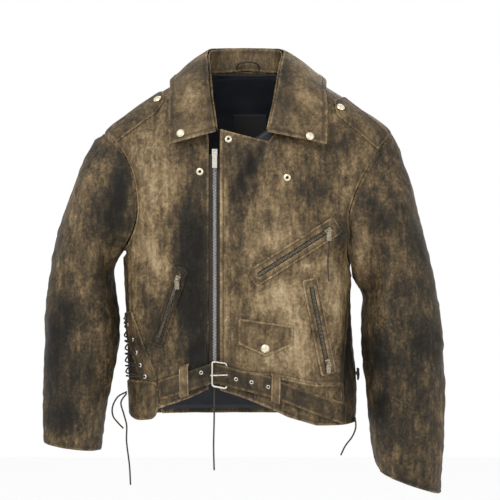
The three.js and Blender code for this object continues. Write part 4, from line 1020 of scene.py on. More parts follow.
def grid_faces(rows, columns):
    return np.array([(r * columns + c, r * columns + c + 1, (r + 1) * columns + c + 1, (r + 1) * columns + c)
                     for r in range(rows - 1) for c in range(columns - 1)])


def collar_paint(p):
    x, z = np.abs(p[:, 0]), p[:, 2]
    pale = 0.7 * np.exp(-(((x - 100) / 20) ** 2) - ((z + 60) / 40) ** 2)
    low = 0.35 * np.exp(-(((x - 85) / 26) ** 2) - ((z + 120) / 16) ** 2)
    # A darker band along the roll line, where the fall turns over the stand: painted shade.
    roll_shade = -0.5 * np.exp(-(((x - 66) / 10) ** 2) - ((z + 20) / 60) ** 2)
    return pale + low + roll_shade + 0.25 * ripple(p, 60, 31)


def outward_from(centre):
    return lambda net: (net - centre).reshape(-1, 3)


def crumple(net, amount, seed):
    away = net - NECK_CENTRE
    away /= np.linalg.norm(away, axis=-1, keepdims=True)
    return net + away * (amount * ripple(net, 34, seed))[..., None]


stand = np.concatenate([collar_strip(-1, 0, 1, 70, 16, False)[::-1],
                        collar_strip(1, 0, 1, 70, 16, False)[1:]])
stand = crumple(stand, 0.4, 41)
piece = leather_piece("collar_stand_hide", stand.reshape(-1, 3), grid_faces(*stand.shape[:2]),
                      outward_from(NECK_CENTRE)(stand), 2.4, (), COLLAR_LEATHER, collar_paint)
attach(piece, "torso")
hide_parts("collar_stand")
fall = np.concatenate([collar_strip(-1, 0, 0.443, 60, 44, True)[::-1],
                       collar_strip(1, 0, 0.443, 60, 44, True)[1:]])
fall = crumple(fall, 0.5, 42)
piece = leather_piece("collar_fall_hide", fall.reshape(-1, 3), grid_faces(*fall.shape[:2]),
                      outward_from(NECK_CENTRE)(fall), 2.8, (), COLLAR_LEATHER, collar_paint)
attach(piece, "torso")
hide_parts("collar_fall")
collar_wings = {}
for side, sign in (("right", -1), ("left", 1)):
    wing = crumple(collar_strip(sign, 0.4445, 1, 84, 50, True), 0.5, 42)
    collar_wings[side] = wing
    piece = leather_piece(f"{side}_collar_wing_hide", wing.reshape(-1, 3), grid_faces(*wing.shape[:2]),
                          outward_from(NECK_CENTRE)(wing), 2.8, (), COLLAR_LEATHER, collar_paint)
    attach(piece, f"{side}_collar_wing")
    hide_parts(f"{side}_collar_wing")


def net_normals(net):
    normal = np.cross(np.gradient(net, axis=0), np.gradient(net, axis=1))
    normal /= np.linalg.norm(normal, axis=-1, keepdims=True) + 1e-9
    return normal * np.sign((normal * (net - NECK_CENTRE)).sum(-1).mean())


def sew_net(body_name, net, places, lift=0.25):
    """Stitches along a line of (row, column) places on a net, between its points."""
    normal = net_normals(net)
    places = np.asarray(places, float)
    r = np.clip(places[:, 0], 0, net.shape[0] - 1.001)
    c = np.clip(places[:, 1], 0, net.shape[1] - 1.001)
    i, j = r.astype(int), c.astype(int)
    f, g = (r - i)[:, None], (c - j)[:, None]

    def mix(grid):
        return (grid[i, j] * (1 - f) * (1 - g) + grid[i + 1, j] * f * (1 - g)
                + grid[i, j + 1] * (1 - f) * g + grid[i + 1, j + 1] * f * g)

    sew(body_name, mix(net) + mix(normal) * lift, mix(normal))


def inset_rows(net, inset, from_end):
    """The row or column at which a net is this far from its last row or outer edge."""
    if from_end == "row":
        run = np.linalg.norm(np.diff(net, axis=0), axis=-1)[::-1].cumsum(0)
        return net.shape[0] - 1 - np.array([np.interp(inset, np.r_[0, run[:, c]], np.arange(len(run) + 1))
                                            for c in range(net.shape[1])])
    run = np.linalg.norm(np.diff(net, axis=1), axis=-1)[:, ::-1].cumsum(1)
    return net.shape[1] - 1 - np.array([np.interp(inset, np.r_[0, run[r]], np.arange(run.shape[1] + 1))
                                        for r in range(net.shape[0])])


for body_name, net, closed in (("torso", fall, False), ("right_collar_wing", collar_wings["right"], True),
                               ("left_collar_wing", collar_wings["left"], True)):
    edge_columns = inset_rows(net, 8.0, "column")
    last = inset_rows(net, 6.5, "row").mean() if closed else net.shape[0] - 1
    rows = np.arange(0, last, 1.0)
    sew_net(body_name, net, np.stack([rows, np.interp(rows, np.arange(net.shape[0]), edge_columns)], -1))
    if closed:
        columns = np.arange(2, np.interp(last, np.arange(net.shape[0]), edge_columns), 1.0)
        sew_net(body_name, net, np.stack([np.full(len(columns), last), columns], -1))


# ---- Satin lining and neck patch ----------------------------------------------------------
# Near-black satin sewn inside the body, open down the front behind the zip, and a blank woven
# patch stitched below the back neck seam.
lining_levels = np.concatenate([np.linspace(-1, -60, 14), np.linspace(-66, -604, 70)])
share = np.linspace(0, 1, 150)
OPEN_LEFT = [(88, 20), (84, -60), (70, -85), (-20, -150), (-30, -200), (-30, -640)]
lining_rows = []
for z in lining_levels:
    left_edge = turn_at(at_height(OPEN_LEFT, z), z)
    right_edge = turn_at(-84, z) if z < -8 else -np.pi / 2
    turns = left_edge + (right_edge + 2 * np.pi - left_edge) * share
    front_cut = np.where(np.cos(turns) > 0, on_line(HEM, body_smooth(turns, np.full(150, z))[:, 0]) + 8,
                         -700)
    heights = np.maximum(np.full(150, z), front_cut)
    smooth = body_smooth(turns, heights)
    lining_rows.append(smooth + body_normal(turns,
                                            heights) * (folds(smooth) * 0.8 - 6.4 + 0.8 * ripple(smooth, 60,
                                                51))[:, None])
lining_net = np.array(lining_rows)
piece = leather_piece("body_lining_satin", lining_net.reshape(-1, 3), grid_faces(*lining_net.shape[:2]),
                      (lining_net - (0, 0, -300)).reshape(-1, 3) * (1, 1, 0), 1.2, (), satin,
                      round_edge=False)
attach(piece, "torso")
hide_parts("body_lining")

patch_paint, patch_tree, patch_shader = material("neck patch weave", roughness=0.7)
patch_place = attribute(patch_tree, "rest", "Vector")
patch_tree.links.new(ramp(patch_tree, noise(patch_tree, patch_place, 300, 3), [
    (0.3, (0.004, 0.004, 0.005)), (0.75, (0.012, 0.0115, 0.011))]), patch_shader.inputs["Base Color"])
patch_rows = []
for z in np.linspace(-72, -128, 24):
    turns = turn_at(np.linspace(34, -28, 26), np.full(26, z), True)
    smooth = body_smooth(turns, np.full(26, z))
    patch_rows.append(smooth - body_normal(turns, np.full(26, z)) * 8.8)
patch_net = np.array(patch_rows)
piece = leather_piece("blank_neck_patch", patch_net.reshape(-1, 3), grid_faces(*patch_net.shape[:2]),
                      -np.ones((patch_net.shape[0] * patch_net.shape[1], 3)) * (0, 1, 0), 0.8, (),
                      patch_paint, shade=lambda p: 0 * p[:, 0])
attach(piece, "torso")


# ---- Epaulettes, coin flap, hem tab and lacing strip --------------------------------------
# Doubled 2.4 mm leather laid on the panels and topstitched round the edge. The epaulettes are
# sewn in at the armhole and snapped near the collar; the coin flap is sewn along its top.
def rounded(points, radius=4.0, steps=5):
    """A closed outline with its corners rounded off."""
    p = np.asarray(points, float)
    out = []
    for before, corner, after in zip(np.roll(p, 1, 0), p, np.roll(p, -1, 0)):
        a, b = before - corner, after - corner
        reach = min(radius, np.linalg.norm(a) * 0.45, np.linalg.norm(b) * 0.45)
        start, end = corner + a / np.linalg.norm(a) * reach, corner + b / np.linalg.norm(b) * reach
        for t in np.linspace(0, 1, steps):
            out.append((1 - t) ** 2 * start + 2 * t * (1 - t) * corner + t**2 * end)
    return out


def trim(name, points, low, high, surface, body_name, node, inset=4.0, radius=4.0,
         holes=(),
         tilt=0.0):
    outline = rounded(points, radius)
    outline = chart([*outline, outline[0]], step=2.5)[:-1]
    rings = [circle_chart(x, z, r) if r else SLOT_CHART for x, z, r in holes]
    piece, loop, scale = on_body(name, outline, low, high, surface, (inset,), step=3.6, holes=rings,
                                 shade=lambda p: 0.45 * wear_and_shade(p) + tilt + 0.3 * ripple(p, 40, len(name)))
    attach(piece, body_name)
    if node:
        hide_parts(node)
    sew_edge(body_name, loop, scale, inset, high)
    return piece


def circle_chart(x, z, radius, count=16):
    turns = np.linspace(0, 2 * np.pi, count, endpoint=False)
    return np.stack([turn_at(x + radius * np.cos(turns), z + radius * np.sin(turns)),
                     z + radius * np.sin(turns)], -1)


trim("right_epaulette_hide",
     [(-167, -48), (-147, -43), (-142, -60), (-157, -84), (-224, -133), (-243, -114.5)],
     0.6, 3.0, TRIM_LEATHER, "right_epaulette", "right_epaulette")
trim("left_epaulette_hide", [(167, -52), (147, -62), (152, -88), (220, -146), (243, -119)],
     0.6, 3.0, TRIM_LEATHER, "left_epaulette", "left_epaulette")
trim("coin_flap_hide", [(-15, -434), (76, -447), (75, -478), (30, -497), (-16, -476)], 0.6, 3.2,
     TRIM_LEATHER,
     "coin_flap", "coin_pocket_flap", tilt=0.35)
trim("right_hem_tab_hide",
     [(-211, -541), (-152, -541), (-151, -583), (-158, -604), (-190, -609), (-209, -600)],
     0.6, 3.2, TRIM_LEATHER, "torso", "right_hem_tab", radius=12)
LACE_HOLES = [(-211, -436), (-205, -446), (-196, -471), (-189, -493), (-182, -514), (-174, -533)]
trim("right_lacing_hide", [(-221, -430), (-199, -422), (-154, -534), (-156, -540), (-181, -540)], 0.6, 3.0,
     TRIM_LEATHER, "torso", "right_lacing_strip", inset=3.0, radius=2)

# ---- Waist belt ---------------------------------------------------------------------------
# A buckle strap with the tip strap lying over it, both 3 mm saddle leather edge-stitched 4 mm in,
# held by two loops. The tip strap has metal eyelets and the slot that the prong comes through.
BELT_HOLES = [(-78, -524), (-20, -535), (6, -540), (34, -548)]
prong_slot = rounded([(-57, -530.4), (-33, -530.4), (-33, -525.6), (-57, -525.6)], 2.2)
SLOT_CHART = chart([*prong_slot, prong_slot[0]], step=2.5)[:-1]
trim("belt_buckle_strap_hide",
     [(-30, -518), (38, -531), (55, -540), (168, -580), (166, -616), (54, -570), (34, -564),
     (-30, -547)], 2.4, 5.0, BELT_LEATHER, "torso", "belt_buckle_strap", radius=3)
trim("belt_tip_strap_hide",
     [(-150, -539), (-58, -508), (-9, -521), (38, -531), (55, -540), (139, -571), (151, -590),
     (134, -603), (54, -570), (34, -564), (-9, -553), (-58, -541), (-148, -571)], 5.6, 8.6, BELT_LEATHER,
     "torso",
     "belt_tip_strap", radius=5, holes=[*((x, z, 2.2) for x, z in BELT_HOLES), (0, 0, None)])

LOOPS = {"right_belt_loop": [(-114, -514), (-100, -509), (-99, -563), (-113, -568)],
         "left_belt_loop": [(40, -524), (54, -530), (53, -579), (39, -574)]}
for loop_name, corners in LOOPS.items():
    corners = np.array(corners, float)
    rows = []
    for t in np.linspace(-0.06, 1.06, 60):
        left = corners[0] + (corners[3] - corners[0]) * np.clip(t, 0, 1)
        right = corners[1] + (corners[2] - corners[1]) * np.clip(t, 0, 1)
        across = left + (right - left) * np.linspace(0, 1, 16)[:, None]
        rise = np.clip(min(t, 1 - t) / 0.07, 0, 1)
        height = 3.0 + 8.2 * (rise * rise * (3 - 2 * rise))
        turns = turn_at(across[:, 0], across[:, 1])
        rows.append(body(turns, across[:, 1], height + 0 * turns))
    net = np.array(rows[3:-3])
    piece = leather_piece(loop_name + "_hide", net.reshape(-1, 3), grid_faces(*net.shape[:2]),
                          np.tile((0, -1, 0), (net.shape[0] * net.shape[1], 1)), 2.2, (), BELT_LEATHER,
                          shade=lambda p: 0.8 + 0.2 * ripple(p, 30, 61))
    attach(piece, "torso")
    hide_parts(loop_name)
    for column in (2.5, 12.5):
        sew_net("torso", net, [(r, column) for r in range(3, net.shape[0] - 3)])

# ---- Pocket welts -------------------------------------------------------------------------
# Each zipped pocket has a leather frame with a raised lip on both sides of the opening and two
# rows of stitching, sewn onto the panel round the zip.
def seat_points(seat, flat, lift):
    centre, along, across, out = (np.array(v, float) for v in seat[:4])
    return centre + flat[:, :1] * along + flat[:, 1:2] * across + np.asarray(lift).reshape(-1, 1) * out


# The right-hand pocket's welt takes a darker copy of the trim leather: painted shade round its slit.
SHADED_WELT_LEATHER = leather("shaded pocket leather", 0.27, 0.8, 0.7)
WELTS = {"chest_pocket": (174, 31), "left_hand_pocket": (165, 28), "right_hand_pocket": (140, 24)}
for pocket, (length, width) in WELTS.items():
    seat = SEATS[pocket]
    a, b = length / 2, width / 2
    corners = rounded([(-a, -b), (a, -b), (a, b), (-a, b)], 5)
    outer = resample([*corners, corners[0]], 2.5)[:-1]
    outer = outer[np.linalg.norm(outer - np.roll(outer, 1, 0), axis=1) > 0.3]
    corners = rounded([(-a + 11, -4), (a - 11, -4), (a - 11, 4), (-a + 11, 4)], 3.9)
    slot = resample([*corners, corners[0]], 2.5)[:-1]
    slot = slot[np.linalg.norm(slot - np.roll(slot, 1, 0), axis=1) > 0.3]
    net, triangles = fill(outer, 2.6, [0.9, 2.0, 3.2, 4.4], [slot])
    to_slot = loop_distance(net, slot)
    to_edge = loop_distance(net, outer)
    lift = 2.3 + 1.1 * np.exp(-(((to_slot - 1.9) / 1.5) ** 2)) - 0.5 * np.exp(-(((to_slot
        - 4.2) / 0.9) ** 2))
    lift -= 0.55 * np.exp(-(((to_edge - 3.4) / 0.9) ** 2))
    points = seat_points(seat, net, lift)
    piece = leather_piece(f"{pocket}_welt_hide", points, triangles,
                          np.tile(np.array(seat[3], float), (len(net), 1)), 2.2,
                          (), SHADED_WELT_LEATHER if pocket == "right_hand_pocket" else TRIM_LEATHER,
                          shade=lambda p: 0.5 * wear_and_shade(p) + 0.35 + 0.25 * ripple(p, 25, 62))
    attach(piece, "torso")
    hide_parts(f"{pocket}_welt")
    for line in (offset_line(outer, 3.4),
                 slot.mean(0) + (slot - slot.mean(0)) * ((a - 6.6) / (a - 11), 8.4 / 4)):
        closed = np.vstack([line, line[:1]])
        sew("torso", seat_points(seat, closed, np.full(len(closed), 2.1)),
            np.tile(np.array(seat[3], float), (len(closed), 1)),
            3.4, 0.8)


# ---- Metal --------------------------------------------------------------------------------
# Nickel plate on brass: bright but handled, with duller cloudy patches and a warm cast. The
# pocket chains have aged darker. Zip tape, waxed thread and rawhide lace finish the trimmings.
def metal(name, bright, dull, low, high):
    made, tree, shader = material(name, metallic=1.0)
    place = plug(tree, "ShaderNodeTexCoord").outputs["Object"]
    cloud = noise(tree, place, 420, 5, 0.6)
    tree.links.new(ramp(tree, cloud, [(0.35, dull), (0.62, bright)]), shader.inputs["Base Color"])
    rough = plug(tree, "ShaderNodeMapRange", {"Value": cloud, 1: 0.3, 2: 0.7, 3: high, 4: low})
    tree.links.new(rough.outputs[0], shader.inputs["Roughness"])
    scratch = plug(tree, "ShaderNodeBump",
                   {"Height": noise(tree, stretched(tree, place, (1, 1, 0.1)), 2600, 3, 0.5),
                                            "Strength": 0.12, "Distance": 0.0001})
    tree.links.new(scratch.outputs["Normal"], shader.inputs["Normal"])
    return made


NICKEL = metal("nickel plate", (0.78, 0.75, 0.68), (0.50, 0.46, 0.38), 0.2, 0.42)
SNAP_METAL = metal("snap caps", (0.86, 0.79, 0.60), (0.62, 0.54, 0.38), 0.26, 0.5)
CHAIN = metal("zip chain", (0.74, 0.73, 0.70), (0.42, 0.40, 0.36), 0.24, 0.4)
OLD_CHAIN = metal("pocket chain", (0.36, 0.32, 0.24), (0.16, 0.13, 0.09), 0.32, 0.55)

tape_cloth, tape_tree, tape_shader = material("zip tape", roughness=0.82, sheen_weight=0.2)
tape_place = attribute(tape_tree, "rest", "Vector")
tape_tree.links.new(ramp(tape_tree, noise(tape_tree, tape_place, 90, 6, 0.6), [
    (0.3, (0.010, 0.0075, 0.005)), (0.7, (0.034, 0.024, 0.014))]), tape_shader.inputs["Base Color"])
ribs = plug(tape_tree, "ShaderNodeTexWave", {"Vector": tape_place, "Scale": 420.0, "Distortion": 0.4},
            bands_direction="Z")
rib_bump = plug(tape_tree, "ShaderNodeBump",
                {"Height": ribs.outputs["Fac"], "Strength": 0.5, "Distance": 0.0003})
tape_tree.links.new(rib_bump.outputs["Normal"], tape_shader.inputs["Normal"])

thread_wax, thread_tree, thread_shader = material("waxed thread", roughness=0.62)
thread_place = plug(thread_tree, "ShaderNodeTexCoord").outputs["Object"]
thread_tree.links.new(ramp(thread_tree, noise(thread_tree, thread_place, 60, 5, 0.7), [
    (0.3, (0.016, 0.011, 0.007)), (0.55, (0.06, 0.042, 0.022)), (0.8, (0.17, 0.125, 0.07))]),
    thread_shader.inputs["Base Color"])

rawhide, rawhide_tree, rawhide_shader = material("rawhide lace", roughness=0.7)
rawhide_place = plug(rawhide_tree, "ShaderNodeTexCoord").outputs["Object"]
rawhide_tree.links.new(ramp(rawhide_tree, noise(rawhide_tree, rawhide_place, 130, 6, 0.65), [
    (0.3, (0.010, 0.007, 0.005)), (0.6, (0.045, 0.029, 0.017)), (0.85, (0.12, 0.08, 0.045))]),
    rawhide_shader.inputs["Base Color"])
hide_bump = plug(rawhide_tree, "ShaderNodeBump", {"Height": noise(rawhide_tree, rawhide_place, 900, 4, 0.6),
                                                 "Strength": 0.5, "Distance": 0.0004})
rawhide_tree.links.new(hide_bump.outputs["Normal"], rawhide_shader.inputs["Normal"])
for lace in laces:
    lace.data.materials.append(rawhide)


# ---- Rows of repeated pieces --------------------------------------------------------------
# Stitches, zip teeth and eyelets are one shape each, set along their rows by a geometry node
# group and then kept as a plain mesh per moving part.
rows_group = bpy.data.node_groups.new("set along row", "GeometryNodeTree")
for socket, kind in (("Row", "NodeSocketGeometry"), ("Item", "NodeSocketObject"),
                     ("Finish", "NodeSocketMaterial")):
    rows_group.interface.new_socket(name=socket, in_out="INPUT", socket_type=kind)
rows_group.interface.new_socket(name="Pieces", in_out="OUTPUT", socket_type="NodeSocketGeometry")
rows_in, rows_out = rows_group.nodes.new("NodeGroupInput"), rows_group.nodes.new("NodeGroupOutput")


def named(name, kind):
    return plug(rows_group, "GeometryNodeInputNamedAttribute", {"Name": name},
                data_type=kind).outputs["Attribute"]


lean = plug(rows_group, "FunctionNodeAlignRotationToVector", {"Vector": named("up", "FLOAT_VECTOR")},
            axis="Z")
turned = plug(rows_group, "FunctionNodeAlignRotationToVector", {
    "Rotation": lean.outputs[0], "Vector": named("ahead", "FLOAT_VECTOR")}, axis="X", pivot_axis="Z")
item = plug(rows_group, "GeometryNodeObjectInfo", {"Object": rows_in.outputs["Item"]})
placed = plug(rows_group, "GeometryNodeInstanceOnPoints", {
    "Points": rows_in.outputs["Row"], "Instance": item.outputs["Geometry"], "Rotation": turned.outputs[0],
    "Scale": named("size", "FLOAT")})
real = plug(rows_group, "GeometryNodeRealizeInstances", {"Geometry": placed.outputs["Instances"]})
finished = plug(rows_group, "GeometryNodeSetMaterial", {
    "Geometry": real.outputs["Geometry"], "Material": rows_in.outputs["Finish"]})
rows_group.links.new(finished.outputs["Geometry"], rows_out.inputs["Pieces"])


def set_rows(name, rows, item_object, finish):
    """One mesh of an item repeated at every place of the rows: (places mm, ahead, up, size)."""
    at, ahead, up, size = (np.concatenate([np.asarray(row[k], float) for row in rows]) for k in range(4))
    mesh = bpy.data.meshes.new(name)
    mesh.from_pydata(at / 1000, [], [])
    for key, value in (("ahead", ahead), ("up", up)):
        mesh.attributes.new(key, "FLOAT_VECTOR", "POINT").data.foreach_set("vector", value.ravel())
    mesh.attributes.new("size", "FLOAT", "POINT").data.foreach_set("value", size)
    obj = link(name, mesh)
    modifier = obj.modifiers.new("rows", "NODES")
    modifier.node_group = rows_group
    inputs = {socket.name: socket.identifier for socket in rows_group.interface.items_tree
              if socket.in_out == "INPUT"}
    modifier[inputs["Item"]] = item_object
    modifier[inputs["Finish"]] = finish
    graph = bpy.context.evaluated_depsgraph_get()
    graph.update()
    plain = bpy.data.meshes.new_from_object(obj.evaluated_get(graph))
    obj.modifiers.remove(modifier)
    obj.data = plain
    return obj


def item_mesh(name, points, faces):
    mesh = bpy.data.meshes.new(name)
    mesh.from_pydata([tuple(v / 1000 for v in p) for p in points], [], faces)
    mesh.polygons.foreach_set("use_smooth", [True] * len(mesh.polygons))
    return link(name, mesh)


def turned_item(name, profile, sides):
    """A closed ring or cap turned from a profile of (radius, height) places."""
    points, faces, rings = [], [], []
    for r, h in profile:
        if r < 1e-6:
            points.append((0, 0, h))
            rings.append([len(points) - 1])
        else:
            rings.append(list(range(len(points), len(points) + sides)))
            points += [(r * math.cos(2 * math.pi * k / sides), r * math.sin(2 * math.pi * k / sides), h)
                       for k in range(sides)]
    closed = profile[0][0] > 1e-6
    for a, b in zip(rings, rings[1:] + ([rings[0]] if closed else [])):
        for k in range(sides):
            n = (k + 1) % sides
            if len(a) == 1:
                faces.append((a[0], b[k], b[n]))
            elif len(b) == 1:
                faces.append((a[k], b[0], a[n]))
            else:
                faces.append((a[k], b[k], b[n], a[n]))
    return item_mesh(name, points, faces)


stitch_points, stitch_faces = [(-1.9, 0, -0.25)], []
for x, r in ((-1.3, 0.42), (0, 0.5), (1.3, 0.42)):
    stitch_points += [(x, r * math.cos(a), 0.1 + r * 0.85 * math.sin(a))
                      for a in np.arange(5) * 2 * math.pi / 5]
stitch_points.append((1.9, 0, -0.25))
for k in range(5):
    n = (k + 1) % 5
    stitch_faces += [(0, 1 + n, 1 + k), (16, 11 + k, 11 + n)]
    stitch_faces += [(1 + k, 1 + n, 6 + n, 6 + k), (6 + k, 6 + n, 11 + n, 11 + k)]
stitch_item = item_mesh("stitch_item", stitch_points, stitch_faces)

tooth_points = [(x, y, z) for x in (-0.5, 0.5) for y in (-1.9, 2.3) for z in (-1.1, 1.1)]
tooth_points += [(x * 0.7, y, z * 0.7) for x in (-0.5, 0.5) for y in (2.9,) for z in (-1.1, 1.1)]
tooth_faces = [(0, 1, 3, 2), (4, 6, 7, 5), (0, 4, 5, 1), (0, 2, 6, 4), (1, 5, 7, 3), (2, 3, 9, 8),
               (6, 10, 11, 7),
               (2, 8, 10, 6), (3, 7, 11, 9), (8, 9, 11, 10)]
tooth_item = item_mesh("tooth_item", tooth_points, tooth_faces)
eyelet_item = turned_item("eyelet_item",
                          [(2.0, -1.2), (2.0, 0.5), (2.5, 0.95), (3.2, 0.85), (3.9, 0.3), (4.0, -0.2)], 20)
# A thin dark disc set down in a hole: painted shadow.
hole_item = turned_item("hole_item", [(0, -0.1), (2.3, -0.1), (2.3, -0.6), (0, -0.6)], 16)
cap_item = turned_item("cap_item",
                       [(0, 3.3), (2.6, 3.15), (4.9, 2.6), (6.1, 1.8), (6.6, 1.2), (7.1, 1.0), (7.3, 0.5),
                                    (7.1, 0), (0, 0)], 36)
socket_item = turned_item("socket_item",
                          [(2.6, 0.2), (2.6, 2.2), (3.3, 2.9), (4.2, 2.4), (4.7, 1.5), (5.9, 1.6),
                                          (6.6, 1.1), (6.7, 0.2)], 32)


# ---- Zips ---------------------------------------------------------------------------------
# Metal-toothed zips on woven tape. The main one closes off centre; the pocket and cuff zips are
# older dull metal set in their frames. Sliders and pulls are cast and slide on the chain.
def zip_rows(path, up, across, pitch=2.7, size=1.0):
    """Both halves' teeth along a straight path, each half a step behind the other."""
    start, end = np.asarray(path[0], float), np.asarray(path[1], float)
    run = np.linalg.norm(end - start)
    along = (end - start) / run
    rows = []
    for side, shift in ((1, 0.25), (-1, 0.75)):
        count = int(run / pitch) - 1
        at = start + along * ((np.arange(count) + shift) * pitch)[:,
            None] + np.asarray(across) * side * 1.15 * size
        ahead = np.tile(along * side, (count, 1))
        rows.append((at, ahead, np.tile(up, (count, 1)), np.full(count, size)))
    return rows


for half, (inner_x, outer_x) in {"right": (-56.3, -82), "left": (-55.7, -30)}.items():
    corners = [(inner_x, -156), (inner_x, -524), (outer_x, -524), (outer_x, -156)]
    tape_outline = chart([*corners, corners[0]])[:-1]
    piece, loop, scale = on_body(f"main_zip_{half}_cloth", tape_outline, -5.0, -3.8, tape_cloth, (),
                                 shade=lambda p: 0 * p[:, 0])
    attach(piece, "torso")
    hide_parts(f"main_zip_{half}_tape")
main_rows = []
for z_high, z_low in zip(np.linspace(-162, -524, 13)[:-1], np.linspace(-162, -524, 13)[1:]):
    ends = [np.array([-56, -104.2, z]) for z in (z_high, z_low)]
    count = int(round((z_high - z_low) / 2.5))
    for side in (1, -1):
        share = (np.arange(count) + (0.25 if side > 0 else 0.75)) / count
        at = ends[0] + (ends[1] - ends[0]) * share[:, None] + np.array([side * 0.9, 0, 0])
        ahead = np.tile((ends[1] - ends[0]) * side, (count, 1))
        main_rows.append((at, ahead, np.tile((0, -1.0, 0), (count, 1)), np.full(count, 0.8)))
piece = set_rows("main_zip_teeth", main_rows, tooth_item, CHAIN)
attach(piece, "torso")

ZIPS = {"chest_pocket": ("torso", 153.4, "chest_pocket_zip"),
        "left_hand_pocket": ("torso", 144.4, "left_hand_pocket_zip"),
        "right_hand_pocket": ("torso", 119.4, "right_hand_pocket_zip"),
        "right_cuff": ("right_sleeve", 120, "right_cuff_zip")}
for seat_name, (body_name, length, node) in ZIPS.items():
    seat = SEATS[seat_name]
    centre, along, across, out = (np.array(v, float) for v in seat[:4])
    half_length = length / 2
    net_u, net_v = np.meshgrid(np.linspace(-half_length, half_length, 70), np.linspace(-4, 4, 7),
                               indexing="ij")
    flat = np.stack([net_u.ravel(), net_v.ravel()], -1)
    points = seat_points(seat, flat, np.full(len(flat), 0.9))
    piece = leather_piece(f"{node}_cloth", points, grid_faces(70, 7), np.tile(out, (len(flat), 1)), 1.0, (),
                          tape_cloth,
                          shade=lambda p: 0 * p[:, 0], round_edge=False)
    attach(piece, body_name)
    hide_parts(node)
    ends = (centre - along * half_length + out * 2.0, centre + along * half_length + out * 2.0)
    piece = set_rows(f"{node}_teeth", zip_rows(ends, out, across, 2.4, 0.72), tooth_item, OLD_CHAIN)
    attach(piece, body_name)

for node in ("main_zip_slider", "main_zip_pull", "chest_pocket_zip_slider", "chest_pocket_zip_pull",
             "left_hand_pocket_zip_slider", "left_hand_pocket_zip_pull", "right_hand_pocket_zip_slider",
             "right_hand_pocket_zip_pull", "right_cuff_zip_slider", "right_cuff_zip_pull"):
    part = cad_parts[node]
    part.data.materials.clear()
    part.data.materials.append(NICKEL if node.startswith("main") else OLD_CHAIN)
    soften = part.modifiers.new("soft edges", "BEVEL")
    soften.width = 0.00035
    soften.segments = 2
    soften.harden_normals = False


# ---- Press studs and eyelets --------------------------------------------------------------
# Domed caps on the collar points, epaulettes and coin flap, open sockets on the chest and lapel
# to match, and rolled eyelets in the belt and the lacing strip.
def on_front(x, z, lift):
    turns = turn_at(np.array([x]), np.array([z]))
    z = np.array([z], float)
    return body(turns, z, np.array([lift], float)), body_normal(turns, z)


def on_wing(side, x, z):
    net = collar_wings[side]
    normal = net_normals(net)
    flat = np.hypot(net[..., 0] - x, net[..., 2] - z)
    i = np.unravel_index(flat.argmin(), flat.shape)
    return net[i][None] + normal[i][None] * 0.2, normal[i][None]


def one(name, item_object, at, up, finish, body_name, node=None, size=1.0):
    ahead = np.cross(up, (0.0, 0.3, 1.0))
    piece = set_rows(name, [(at, ahead, up, np.full(len(at), size))], item_object, finish)
    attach(piece, body_name)
    if node:
        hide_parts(node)


for side, x, z in (("right", -113, -121), ("left", 104, -127)):
    at, up = on_wing(side, x, z)
    one(f"{side}_collar_cap", cap_item, at, up, SNAP_METAL, f"{side}_collar_wing", f"{side}_collar_snap")
for node, x, z, lift, body_name in (
        ("right_epaulette_snap", -155, -60, 3.2, "right_epaulette"),
        ("left_epaulette_snap", 158, -75, 3.2, "left_epaulette"),
        ("coin_flap_snap", 29, -484, 3.4, "coin_flap")):
    at, up = on_front(x, z, lift)
    one(node.replace("snap", "cap"), cap_item, at, up, SNAP_METAL, body_name, node)
# Dark discs in the stud sockets and the lacing eyelets are painted shadow in their holes.
hole_shadow_paint, hole_tree, hole_shader = material("eyelet shadow", roughness=0.9)
hole_place = plug(hole_tree, "ShaderNodeTexCoord").outputs["Object"]
hole_tree.links.new(ramp(hole_tree, noise(hole_tree, hole_place, 500, 2), [(0.3, (0.002, 0.002, 0.002)),
                    (0.8, (0.008, 0.006, 0.005))]), hole_shader.inputs["Base Color"])
for node, x, z in (("right_chest_stud", -81, -186), ("left_chest_stud", 66, -196),
                   ("lapel_snap_socket", -33, -131)):
    at, up = on_front(x, z, 0.3)
    one(node + "_ring", socket_item, at, up, SNAP_METAL, "torso", node, size=0.92)
    one(node + "_hole", hole_item, at + up * 0.9, up, hole_shadow_paint, "torso", None, 1.15)

places = [on_front(x, z, 8.8) for x, z in BELT_HOLES]
one("belt_eyelets", eyelet_item, np.vstack([p for p, _ in places]), np.vstack([n for _, n in places]),
    NICKEL, "torso",
    None, 0.86)
places = [on_front(x, z, 3.2) for x, z in LACE_HOLES]
at, up = np.vstack([p for p, _ in places]), np.vstack([n for _, n in places])
one("lacing_eyelets", eyelet_item, at, up, NICKEL, "torso", None)
one("lacing_eyelet_holes", hole_item, at, up, hole_shadow_paint, "torso", None)

# ---- Belt buckle --------------------------------------------------------------------------
# A buckle bent from 3.2 mm nickel-plated wire, with a single prong. Frame and prong turn at the
# heel bar, and the prong reaches over the nose bar.
BUCKLE_CORNERS = [(-60, -115.3, -505), (-36, -109.4, -509), (-36, -109.4, -551), (-60, -115.3, -546)]
bar_path = rounded([(x, z) for x, _, z in BUCKLE_CORNERS], 4.5, 7)
buckle = bpy.data.curves.new("buckle_wire", "CURVE")
buckle.dimensions = "3D"
buckle.bevel_depth = 1.0
buckle.bevel_resolution = 5
wire = buckle.splines.new("POLY")
wire.points.add(len(bar_path) - 1)
wire.use_cyclic_u = True
for point, (x, z) in zip(wire.points, bar_path):
    point.co = (x / 1000, (-109.4 + (x + 36) / 24 * 5.9) / 1000, z / 1000, 1)
    point.radius = 0.0016
buckle_piece = link("buckle_wire", buckle)
buckle_piece.data.materials.append(NICKEL)
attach(buckle_piece, "buckle_frame")
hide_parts("buckle_frame")
